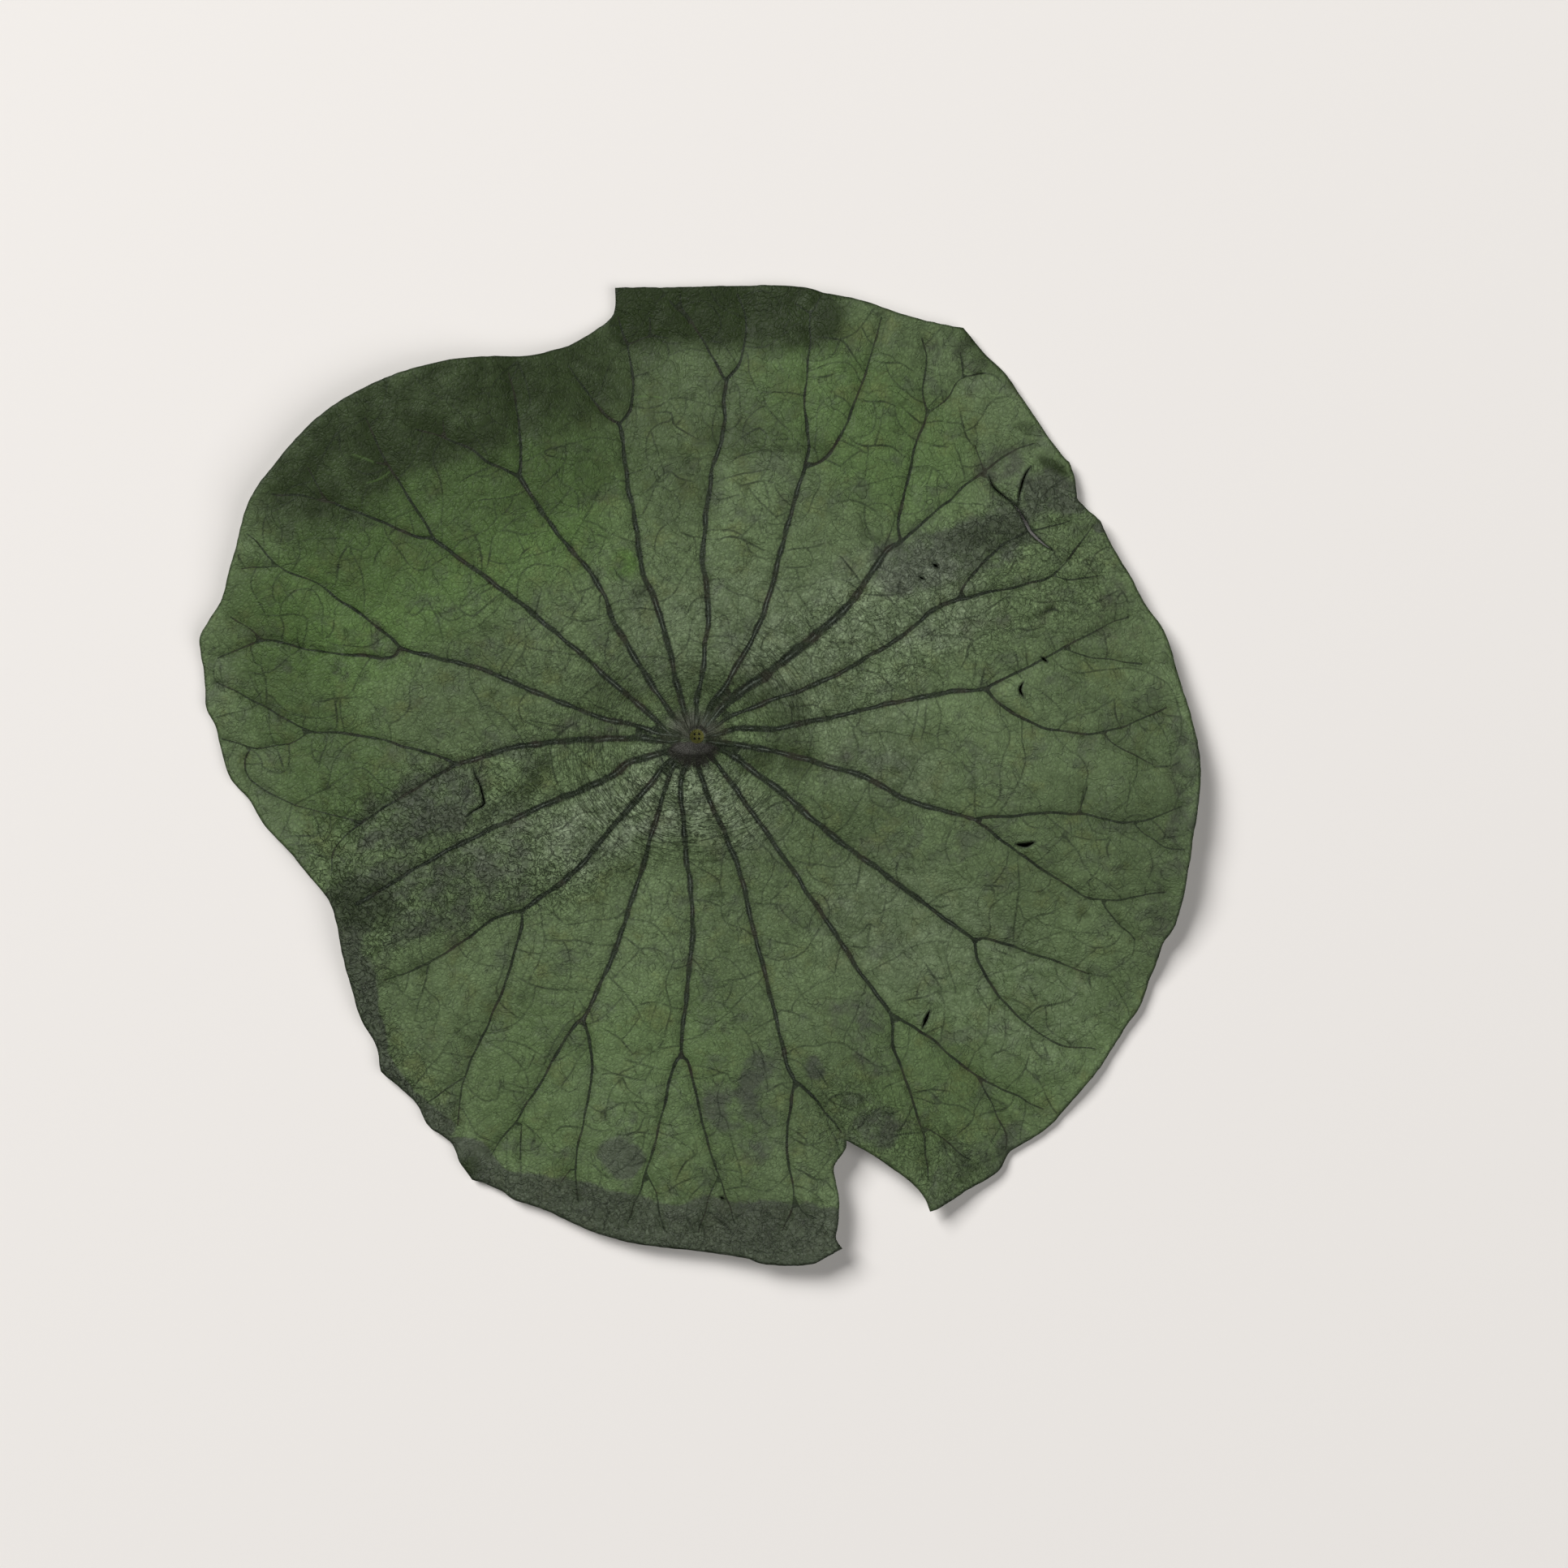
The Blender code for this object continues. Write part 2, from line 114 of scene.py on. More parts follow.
# The margin, clockwise from above. Each run is a smooth curve, and runs meet in a corner.
MARGIN_RUNS_MM = (
    # Nip above the flat top margin's left end, then the top margin.
    ((-31, 97.4), (-27.2, 99.8), (-21, 104.2), (-19.6, 107.4), (-19.6, 112)),
    ((-19.6, 112), (-7, 112.2), (9, 112.5), (19, 112.6), (26, 112.2), (33, 110.6), (43, 108.2),
     (53, 104.8), (62.8, 102.6), (66.6, 102)),
    # Right margin down to the short step beside the torn midline end.
    ((66.6, 102), (71.6, 96), (77.2, 90.6), (81, 84.8), (85.8, 77.8), (91, 70.6), (92.8, 68.8)),
    ((92.8, 68.8), (94.2, 65.2), (94.6, 61.2), (95.2, 59), (100.4, 54.2)),
    ((100.4, 54.2), (103, 48.6), (107.2, 41.4), (111.6, 33.4), (116.4, 26.2), (119.6, 15.2),
     (122.6, 5.8), (124.4, -3), (124.6, -12.4), (123, -22.8), (121.8, -31.6), (119, -44.8),
     (115.8, -50.4), (113.2, -57.8), (110.2, -66.2), (106.4, -71.6), (102.6, -77.8),
     (98.2, -83.8), (92.6, -90.4), (87, -96.4), (81.6, -99.8)),
    ((81.6, -99.8), (78.2, -102), (76, -105.8), (72.8, -108.4), (67.2, -111.4), (61, -115.2),
     (58.2, -116.2)),
    # The tear at the lower right: up its right side, then down its left side.
    ((58.2, -116.2), (56.8, -112.8), (53.4, -109), (46.8, -104), (42.4, -101.2), (37.6, -98.6)),
    ((37.6, -98.6), (37.4, -100.8), (34.6, -104.8), (35, -108.8), (35.8, -113.2), (35.6, -119.2),
     (35, -122.6), (36.6, -125.2)),
    # Bottom margin.
    ((36.6, -125.2), (33.6, -126.8), (28.4, -129.1), (18.2, -129.2), (11.8, -127.4), (2, -126.2),
     (-12.8, -124.6), (-18, -123.6), (-26, -121), (-37.4, -116), (-44.6, -113.6), (-48.2, -111.2),
     (-55, -108.8)),
    # Left margin up to the pinch where the midline ends.
    ((-55, -108.8), (-57.8, -104.8), (-60.2, -99.6), (-65.8, -95.4), (-69.4, -89.2),
     (-77.6, -82)),
    ((-77.6, -82), (-78.8, -75.6), (-82.6, -68.4), (-84.2, -62.8), (-86.4, -54.2), (-88, -45.6)),
    # Left margin from the pinch to the nip.
    ((-88, -45.6), (-89.8, -39.8), (-94.8, -33.6), (-100.2, -27.2), (-106.2, -21.2),
     (-110.2, -14.8), (-114.6, -9.6), (-117, -3), (-118.6, 3.6), (-120.8, 8), (-121.2, 15.2),
     (-122.2, 23.4), (-121.2, 27.4), (-116.8, 34.2), (-114.6, 40.8), (-112.6, 48),
     (-110.4, 55.8), (-106, 63.8), (-96, 75.8), (-89, 81.8), (-77, 88.4), (-65, 92.4),
     (-53, 94.4), (-41, 94.8), (-31, 97.4)),
)

# The eighteen main veins, clockwise from the top: the trunk, then the branches that it forks into.
VEINS_MM = (
    (((-3.6, 11.4), (-5.8, 21.2), (-9, 33.4), (-12.4, 40.4), (-14.2, 51.4), (-18.4, 78)),
     ((-21.2, 79.6), (-26, 85.4), (-31, 92.4)),
     ((-15.4, 83.4), (-15.8, 94.4), (-18, 102), (-19.4, 105.4))),
    (((1.2, 11.4), (2.8, 22.4), (3.6, 33.4), (2.2, 44.8), (4.4, 65.2), (7, 75), (7.8, 88.8)),
     ((4.8, 94.4), (0.8, 101.6), (-2.8, 106.4), (-3.2, 110.4)),
     ((11.4, 93.8), (12.8, 103.2), (10.8, 110.4))),
    (((5.2, 10.2), (8.6, 14.6), (14, 24), (18, 33.4), (21, 45.2), (24, 56.4), (27.4, 66.8)),
     ((28.2, 72.8), (27.4, 83.4), (28.4, 94.4), (28.8, 105.4)),
     ((33.4, 70.6), (39, 81.2), (42.2, 90), (46.4, 104.4))),
    (((7.6, 8.6), (20.2, 18), (29.6, 25.6), (38.4, 33.4), (47.4, 46.4), (51.2, 48.8)),
     ((50.4, 53.4), (51.2, 58), (54.8, 72.8), (57.6, 80), (56.6, 85.4), (57.4, 94.4),
      (56.4, 99.4)),
     ((59.6, 56.4), (71.6, 66.6), (78.2, 71.4), (83.8, 73.2))),
    (((10.2, 6.4), (25.2, 12), (36.2, 16.8), (51.2, 25.6), (59, 31.8), (65, 34.8)),
     ((66.6, 38.2), (73.4, 45.8), (81, 50.8), (92.6, 54.2)),
     ((69.4, 35.6), (79.4, 37.8), (88.2, 40.8), (98.6, 53))),
    (((11.4, 2.8), (21.2, 3), (40, 7.2), (59.6, 11.4), (71.6, 12.4)),
     ((75, 14.2), (82.6, 18), (99.8, 27.4), (107, 30.4)),
     ((78.8, 6.4), (87, 3), (100.4, 1.8), (116.4, 8))),
    (((10.2, -1), (18.6, -2.6), (40, -8.4), (53, -14.8), (69, -19.2)),
     ((77.2, -18.6), (94.8, -18.2), (108, -20.4), (120, -16.4)),
     ((77.2, -25.6), (91, -35.2), (100.4, -39.4), (115.8, -37.6))),
    (((7, -2.4), (19.6, -11.2), (35, -24.2), (54.6, -38.6), (69.2, -49.2)),
     ((72.8, -49.2), (81.6, -52), (97.6, -57.6)),
     ((70.6, -55.2), (76.6, -64.8), (88.8, -74.6), (99.2, -76.4))),
    (((4.8, -4.6), (14.2, -17.4), (29, -38.8), (41.6, -57.8), (48.6, -67.2)),
     ((49.6, -76.6), (56, -95.4), (57.8, -108.6)),
     ((59.6, -74.4), (70, -83), (86.6, -91.4))),
    (((2.2, -10.6), (10.2, -29.4), (15.6, -49.2), (21.2, -72.8), (24.6, -83.8)),
     ((23, -98.6), (24.6, -112.4), (21.8, -120.8)),
     ((27.4, -86), (32.8, -92), (36.2, -96.4))),
    (((-3, -10.6), (-2.4, -21.8), (-0.2, -46), (-2.4, -67.2), (-3, -77.6)),
     ((-5.2, -81), (-10.4, -102.6), (-16.4, -119)),
     ((-0.8, -81), (4, -100.8), (10.2, -119))),
    (((-5.8, -8.4), (-12.4, -31), (-19.4, -51.6), (-27.2, -68.6)),
     ((-30.6, -72.2), (-40.8, -89.2), (-50.6, -102.6)),
     ((-25, -81.6), (-28.8, -102.6), (-28.6, -114))),
    (((-8.4, -8), (-22.8, -25), (-31, -33.8), (-42.4, -41.8)),
     ((-49.4, -44.4), (-63.2, -53.8), (-76.4, -59.2)),
     ((-42.8, -47.6), (-48.4, -64.4), (-56.6, -83.2), (-58.4, -95.4))),
    (((-5.2, -2.4), (-15, -5.2), (-22.8, -10.2), (-41, -17.8), (-62.8, -28.4), (-83.2, -40.4)),),
    (((-5.8, -0.4), (-14.6, 0.6), (-39.2, -1), (-58.8, -6)),
     ((-62.8, -4), (-83.2, 1.4), (-94.6, 2.2), (-106.8, 8.6), (-118, 14.4)),
     ((-62.2, -8.2), (-77.6, -17.6), (-87.6, -25), (-89.2, -32.2))),
    (((-11.2, 2.6), (-28.4, 7.6), (-51.2, 16.8), (-72, 22.6)),
     ((-76.4, 26.8), (-93, 38.6), (-101.8, 42.6), (-109.6, 50.8)),
     ((-76, 20.4), (-95.8, 22.4), (-105.8, 24.6), (-117.8, 20.2))),
    (((-6.8, 2.6), (-23.4, 17.4), (-43.4, 34.2), (-63.8, 49.2)),
     ((-66.6, 54.2), (-74.8, 67.4), (-80.6, 79.4)),
     ((-71, 51), (-89.8, 58.6), (-103.4, 60.4))),
    (((-5.8, 7), (-18.4, 26.8), (-23.4, 38.2), (-36, 54.2), (-42.8, 64.8)),
     ((-42.4, 69), (-43.8, 82.4), (-45.4, 90.4)),
     ((-49.4, 67.8), (-56.6, 72.6), (-68.2, 76.4))),
)

# How much wider or narrower than the others each main vein is, in the same order.
VEIN_WIDTHS = (
    1, 0.9, 1, 1.75, 0.8, 0.95, 1.1, 1.2, 0.9, 0.9, 0.95, 0.9, 1.1, 1.3, 1.15, 0.9, 0.9, 0.95,
)

# Side twigs and second forks of the branches, clockwise from the top.
TWIGS_MM = (
    ((-16, 98), (-10.4, 100), (-7, 99.4)),
    ((-11, 104.8), (-11, 101)),
    ((-1.4, 103.2), (-5.8, 108.6)),
    ((28.8, 105.4), (25.2, 108.2)),
    ((28.8, 105.4), (31.4, 109.8)),
    ((57.6, 80), (59.6, 82.2), (62.8, 85), (66.4, 89.6), (72.2, 90.8)),
    ((66.4, 89.6), (65.8, 96)),
    ((71.6, 66.6), (69.2, 72.8)),
    ((71.6, 66.6), (73, 63.4), (76, 60.8), (78.8, 58)),
    ((88.2, 40.8), (91.6, 39.8), (96, 39.8), (99.8, 40.6)),
    ((91, 22.6), (95.4, 21), (100.4, 20.2), (110.2, 18.6)),
    ((100.4, 1.8), (103, -0.8), (110.2, -4.6), (113, -5.8)),
    ((94.8, -18.2), (96.4, -11.8)),
    ((108, -20.4), (114.2, -25.6), (120.2, -27)),
    ((100.4, -39.4), (101.4, -41.6), (104.2, -44.4), (108.6, -49.2)),
    ((70, -83), (72.2, -87), (76, -95.4), (77.2, -98.6), (77, -102)),
    ((56, -95.4), (59.6, -97.2), (66.2, -102.2), (68.4, -103.4)),
    ((24.6, -112.4), (26.8, -115.8), (30.2, -118)),
    ((5.6, -108), (3.6, -113), (1.4, -121.2)),
    ((-11.2, -107.4), (-9.6, -111.4), (-7.4, -120.8)),
    ((-30.2, -105.8), (-32.8, -109.2)),
    ((-42.8, -94.8), (-42.8, -103.6)),
    ((-56.6, -83.2), (-60, -85.4), (-66.2, -89.6)),
    ((-65.2, -55.4), (-66, -57.4)),
    ((-94.6, 2.2), (-100.2, -0.8), (-109.6, -1.8), (-116.8, 0.4)),
    ((-109.6, -1.8), (-111.2, -7.4), (-105.8, -12.8), (-94.2, -17.4), (-82.6, -19.8)),
    ((-105.8, 24.6), (-110.6, 28.2), (-114, 30.4)),
    ((-101.8, 42.6), (-111.2, 42.2)),
    ((-89.8, 58.6), (-94.6, 66.8)),
    ((-74.8, 67.4), (-77.6, 67.8)),
    ((-61, 75.6), (-61.6, 78.4)),
)

# The clearest veinlets of the net between the veins.
VEINLETS_MM = (
    ((29.6, 99.4), (33, 99.2), (36.6, 98.4), (38.6, 95.8), (40.4, 93.2), (42.4, 91.2)),
    ((43.8, 93.8), (46.8, 93), (50.4, 93), (52.6, 92), (54.6, 90.8)),
    ((40.6, 84), (43.2, 83.4), (46.8, 83.4), (49.2, 82.6)),
    ((51.2, 82.4), (53.4, 80.2), (56, 78.2)),
    ((38.2, 74.8), (39.4, 73.4), (42.2, 72.4), (46.6, 72.6), (49.2, 72), (51.8, 69.8)),
    ((9.6, 72.4), (11.4, 74.2), (14.2, 76), (16.2, 76.8), (18, 75.2), (20.4, 72.4)),
    ((8.6, 68), (11, 69.8), (13.8, 70.6), (17.6, 71.4), (19.8, 70.4), (23, 68)),
    ((10, 62.4), (13.4, 63), (17, 63.8), (19.6, 63.4), (22.2, 61.8)),
    ((4.6, 59.4), (7.4, 59.4), (11, 60.4)),
    ((13.4, 62.2), (15.6, 59.4), (18.4, 56.6), (20.8, 54.2)),
    ((33.2, 60.4), (35.6, 58.6), (38.8, 59), (42, 58), (44.8, 56.2), (47, 54.2)),
    ((32.6, 69), (34.8, 68), (37.6, 66.4)),
    ((57.6, 73.2), (59.8, 72.6), (62.8, 72.4)),
    ((30, 89.4), (32.6, 89.6), (34.8, 90.4)),
    ((-31.4, 73.8), (-31.6, 68.6), (-33.2, 66.2), (-37.2, 62.4)),
    ((-58.6, 62.2), (-53.6, 65.4), (-49.6, 67)),
    ((-41.2, 61.4), (-44, 60), (-49.2, 59.2), (-53.8, 58.6), (-56.4, 55.8)),
    ((-30.8, 62.6), (-28.4, 59.8), (-28.4, 54.4)),
    ((-13.4, 60.2), (-11, 61.8), (-8.2, 65), (-5.8, 66.2), (-3.8, 64.6), (0, 63.6)),
    ((-9.4, 99.4), (-6.2, 98.2), (-3, 98.4)),
    ((-10.2, 80.8), (-5.8, 80.8), (-5, 78), (-2.2, 76), (1.4, 74)),
    ((66.2, 95), (66.6, 89.8)),
    ((69, 90.4), (72, 90.8), (74.6, 90), (76.4, 88)),
    ((69, 72.6), (67, 75.6), (65.4, 82.2)),
    ((64.2, 72.6), (65.4, 70.2), (67.2, 63.2)),
    ((82.4, 64.2), (83.6, 61.6), (84.8, 60.4)),
    ((-97, 48.8), (-96.6, 46), (-97.8, 43), (-98.6, 41.8)),
    ((-80.6, 52.4), (-83.8, 49), (-86.8, 44.4), (-87.6, 39.6), (-88.8, 37)),
    ((-75.6, 48), (-77.6, 45.8), (-78.6, 42.8)),
    ((-69.8, 31.2), (-68.4, 33.4), (-66.6, 34.2), (-65, 34), (-64, 32), (-62.8, 30), (-62.2, 27.4),
     (-61.4, 24)),
    ((-107.4, 31), (-103, 30.6), (-98.6, 31), (-95.4, 30), (-93.4, 28.4)),
    ((-97.6, 27.2), (-97.6, 24.4), (-97, 22.4), (-96.6, 19.4)),
    ((-106.6, 21.2), (-106.8, 18.4), (-106, 15.8), (-105.6, 12.8), (-105.8, 8.8)),
    ((-106, 15.8), (-107.8, 16.4), (-110, 16.8)),
    ((-88.8, 12), (-88.4, 8.8), (-88, 5.4), (-88.4, 2.8)),
    ((-93.4, 9.6), (-91.4, 9.6), (-88.6, 10.4), (-86.2, 10.4)),
    ((-109.8, -2.4), (-110.8, -3.6), (-111.2, -5.6), (-111, -8.2)),
    ((-109.4, -2.4), (-107.6, -4), (-106.8, -6), (-107, -8.2)),
    ((-103, -2.6), (-102, -5.2), (-101.2, -7.6)),
    ((-90.6, 1.2), (-91, -1.6), (-92.2, -4.4), (-92.8, -7.6)),
    ((-117.6, 20.2), (-118.6, 18.4), (-118.8, 15.8), (-117.8, 14)),
    ((-48.6, 50.8), (-49.2, 49.8), (-50, 45.4), (-50.6, 42.4)),
    ((-48.6, 50.8), (-46.6, 51.4), (-44, 51), (-41.4, 50.4), (-38, 51.4)),
    ((-40, 47.4), (-42, 45.8), (-43, 43.8)),
    ((-43.4, 42), (-45, 40), (-46.6, 38)),
    ((-47.4, 35.8), (-49.8, 34), (-52.2, 31.8), (-54, 30.4), (-56, 31), (-58.8, 33.2)),
    ((-38.6, 32), (-38, 34.4), (-37.2, 37)),
    ((-38, 28.8), (-40, 26.6), (-42, 24.4)),
    ((-20, 49.6), (-21.6, 49.8), (-23.4, 50.4), (-25.4, 50.2)),
    ((-20, 43), (-18.6, 40.6), (-17, 39), (-14.6, 38.8)),
    ((-24, 38), (-26.2, 37), (-28.6, 36.2)),
    ((-32, 30.6), (-29.4, 29.6), (-26.6, 29.2), (-23.4, 29.8), (-21.8, 31)),
    ((-3.4, 51.2), (-1, 50.2), (1, 50)),
    ((-21.4, 14), (-24, 13.2), (-26, 12), (-27.6, 10.4), (-30.4, 9.8)),
    ((-14, 18), (-15.8, 16.4), (-17.4, 14.8), (-19.4, 14)),
    ((-22, -0.6), (-23.4, -3.2), (-25, -4.8)),
    ((-27.6, 5.4), (-30, 3.8), (-32.6, 2), (-34.4, 0)),
    ((2.6, 49.6), (6, 49.4), (8.6, 50), (11.4, 49.6), (14, 48.2), (17, 46.8), (19.6, 45.6)),
    ((21.6, 46.2), (24.6, 47), (29, 47.4), (31.4, 48)),
    ((21.4, 42.6), (25, 42.4), (29, 42.8)),
    ((19.4, 38.4), (21, 37), (24, 36.6), (27, 36.4)),
    ((35.6, 45.8), (37.4, 43.6), (39, 41.6), (41.6, 38.4)),
    ((33, 36.8), (34.2, 35.2), (35, 34.2)),
    ((27, 30.4), (28.2, 28.8), (29.2, 27)),
    ((36.6, 30.4), (38.6, 29.8), (41, 29.2), (44, 29.2), (49, 30.4)),
    ((40.6, 36.4), (42.6, 35.8), (48, 35.6), (52, 36.4)),
    ((4, 39.4), (7, 39.6), (10, 39.2)),
    ((4.6, 29.4), (6.6, 30.4), (9.4, 31.2)),
    ((32.6, 24.4), (34.6, 23.8), (36, 22.4)),
    ((55, 10), (55, 7.4), (54.4, 4.4), (53.8, 1.8), (53, -0.8)),
    ((57.4, 10), (57, 6.4), (56.8, 3.8), (55.8, -0.6)),
    ((75.4, 27.6), (74, 27), (71.4, 25.8), (69, 24.4), (67.4, 22.8), (67, 20.4), (65, 16.4)),
    ((75.4, 27.6), (77.6, 26.8), (79.6, 27.4), (82.2, 27.2), (85, 27.4)),
    ((86, 31.4), (88.4, 32.2), (90, 31.6), (91.2, 30.6)),
    ((87, 27.4), (87.8, 25), (88.8, 22.6)),
    ((89.2, 25.2), (89.2, 27.2), (91, 27.8), (92.4, 27.4)),
    ((78.2, 22.4), (79.4, 20.4), (79.8, 17.6)),
    ((71.6, 17.8), (70.8, 14.4), (70.4, 12)),
    ((107, 30.4), (106.8, 32.8), (106.6, 35), (104.6, 38)),
    ((103.6, 10), (103.6, 7.2), (104.2, 4.8), (104.8, 3.8)),
    ((107.4, 8.8), (110, 6.8), (112, 5.8)),
    ((110, 3.4), (111.6, 1.8)),
    ((112.6, -6.6), (117, -6.4), (119, -5.6), (120.6, -3.6)),
    ((-102.4, -24.8), (-100, -23.8), (-96.6, -23.6), (-92, -23.6)),
    ((-99, -28), (-95.4, -27.6), (-92.6, -28.4), (-90.2, -28.8)),
    ((-69, -24.4), (-66, -23.6), (-63, -22), (-60.6, -21.2)),
    ((-62, -34), (-66, -36.6), (-69, -39.6), (-72, -42), (-75, -44.6), (-78, -47)),
    ((-65.2, -55.6), (-65.8, -58), (-67, -62), (-68.2, -65.6), (-69, -69.2)),
    ((-35.4, -42), (-33.8, -43.4), (-31.6, -45.4)),
    ((-17.6, -48), (-15.4, -49.6), (-13, -51.6), (-11.6, -53.6)),
    ((-21.4, -57.6), (-19.4, -59.6), (-17.4, -61.6), (-15.6, -64), (-14, -66), (-12.6, -68.6)),
    ((-44.6, -57.6), (-41.4, -59.6), (-38, -60.8), (-34, -61.4), (-30, -61.4), (-26.6, -61.2)),
    ((16.6, -18), (19, -16.4), (21.4, -15.2), (23.8, -15)),
    ((14, -40.2), (17.4, -40.2), (22, -40.6)),
    ((17.6, -48.6), (20.6, -49.6), (24, -50.2), (26, -50.8)),
    ((16, -56.8), (14, -57.6), (12, -58.6), (8, -59)),
    ((4.2, -64), (7, -64.8), (9.4, -66.8), (10.6, -69.2)),
    ((20.6, -66.2), (24, -66.8), (27, -68), (29, -68.6)),
    ((38, -50.6), (41, -51), (43.8, -50.8)),
    ((41, -30.6), (40.4, -34.6), (39.8, -37.2)),
    ((47.4, -38.6), (46.6, -42.6), (45.6, -46.2)),
    ((40, -48), (41.8, -46.8), (43, -45.2), (44.6, -46), (46.2, -46.2)),
    ((51.4, -28), (50.2, -30), (49.8, -32.6), (50.4, -35)),
    ((59, -40.6), (61, -41.2), (63.4, -40.2)),
    ((56.4, -54.2), (57.6, -56), (60.4, -60.2), (61.4, -62)),
    ((49.6, -64.6), (52.6, -64), (57.4, -63.2), (59.4, -62.2), (62, -62), (64.6, -62.4)),
    ((96.6, -9.6), (95.8, -12.6), (95.2, -15.6), (95.4, -18)),
    ((106.6, -9.2), (107.2, -11.6), (106.6, -14.6), (106, -18)),
    ((102.2, -20.4), (102.2, -24.6), (101.4, -26.6), (102.2, -29.6)),
    ((95.6, -36.2), (97.4, -34.4), (99.2, -32.2), (100, -30.6)),
    ((79.4, -49.6), (81, -46.8), (81.4, -45.2), (83.4, -43.8), (86, -42.8), (88.6, -42.4),
     (89.2, -40), (90.4, -37.6)),
    ((79.6, -28.6), (79.8, -31.6), (80, -35.6), (79.6, -39.6), (78.8, -47.6), (79, -50)),
    ((70.2, -35.6), (73, -35.8), (76, -36)),
    ((74, -51.6), (76.6, -52.6), (79.4, -53.6)),
    ((97.6, -57.6), (97.8, -60), (98.2, -61.6)),
    ((97.6, -57.6), (100, -58.2), (103.4, -58.4)),
    ((82.6, -60.2), (83.8, -62.6), (84.8, -64.8)),
    ((81.4, -70), (83.4, -67.4), (85.6, -65.8), (88.4, -65.4), (93.4, -64), (95, -62)),
    ((-47.8, -83.8), (-45, -84.8), (-42, -85.8), (-39.4, -86.2)),
    ((-47.6, -84.2), (-48.2, -86.6), (-48.6, -88.6)),
    ((-46.6, -74), (-43.8, -74.6), (-41.4, -75.4), (-37.4, -77.8)),
    ((-42.4, -94.2), (-40.6, -95.8), (-38.8, -97.4), (-37.4, -98.8)),
    ((-35, -97.6), (-33.8, -96.2), (-32.4, -95.2), (-30, -95.2), (-27.8, -95.6)),
    ((-42.8, -103.6), (-42.8, -107.6), (-42.6, -110.6)),
    ((-25.6, -90.2), (-23.4, -91.4), (-21, -91), (-18.6, -89.6), (-16, -89), (-13, -89.2),
     (-10.4, -89.6), (-8.8, -90.8)),
    ((-22, -91.6), (-21.8, -93.2), (-22.2, -94.4)),
    ((-19.6, -97.2), (-17, -97.2), (-15, -96.6), (-12.6, -96.6), (-10.4, -97)),
    ((-23, -82.4), (-20.6, -82), (-18, -82.4), (-15.4, -83.2), (-12, -83.8)),
    ((-22.6, -70.8), (-20, -72.2), (-18, -73.6), (-15, -77.2)),
    ((-17.8, -78), (-14.6, -79.2), (-11, -80.2), (-7.4, -81)),
    ((-7.4, -94.4), (-5.4, -94.8), (-3.4, -95.6)),
    ((1, -101.6), (-1, -103.2), (-2.6, -104.6), (-4.6, -108.6)),
    ((-26.6, -103.2), (-24.6, -104.8), (-22.6, -106.8), (-20.6, -108.4)),
    ((0.2, -80), (4, -80.6), (6.6, -81.6), (8.4, -82), (9, -83.6), (11.4, -85.2), (13.4, -88)),
    ((13.4, -88), (16, -87), (18.6, -86.2), (20.6, -84.8), (23.6, -84)),
    ((29.2, -79.2), (30.6, -81.2), (33, -85)),
    ((32.2, -90), (33.4, -88.2), (35.4, -87.2), (38.2, -86.8), (40.6, -87.2), (42.4, -88.6)),
    ((46, -86), (48, -85), (50.2, -84.2)),
    ((45.8, -90.6), (47.6, -91.8), (49.6, -91.8), (51.4, -90.8)),
    ((38.6, -96.2), (40.6, -95.2), (42.2, -93.6), (42.6, -91.6)),
    ((24, -97.6), (26, -98.8), (28.4, -99.6), (32.6, -98.4)),
    ((24.6, -105.6), (26.6, -106), (30, -108), (34, -107.6)),
    ((53.4, -87), (56, -86.6), (59, -86.2), (63, -86.6)),
    ((48, -98.2), (50.6, -97.2), (55.4, -96.8)),
    ((8, -110.6), (10, -110.2), (12.6, -109.8), (15, -110.4)),
    ((82.8, -77.6), (82, -80.6), (80.2, -84.2)),
    ((78, -77.2), (76.6, -76.6), (73.4, -77.8)),
    ((86, -74.4), (87, -76.6), (87.8, -78.8)),
    ((64.6, -97.6), (66.6, -96), (68.4, -94.4), (69.2, -92.8)),
    ((69.6, -93.2), (72, -92.2), (74.6, -91.8), (77, -91), (78.6, -89.6), (79.2, -87.6)),
)

# Veinlets that stand out pale instead of dark.
PALE_VEINLETS_MM = (
    ((-80, 63), (-77, 64), (-74.6, 65.8)),
    ((-83.6, 70), (-81, 69.2), (-78.6, 68.2)),
    ((-70.6, 61.4), (-68, 62), (-65, 62.4)),
    ((-58, 62.4), (-56, 63.6), (-53.8, 64.8)),
    ((-53.8, 58.6), (-51, 59.4), (-47, 59.6), (-42.6, 61.2)),
    ((-40.6, 51), (-38.6, 51.4), (-36.2, 52)),
    ((-16.4, 84.4), (-12, 85), (-8, 84.6)),
)

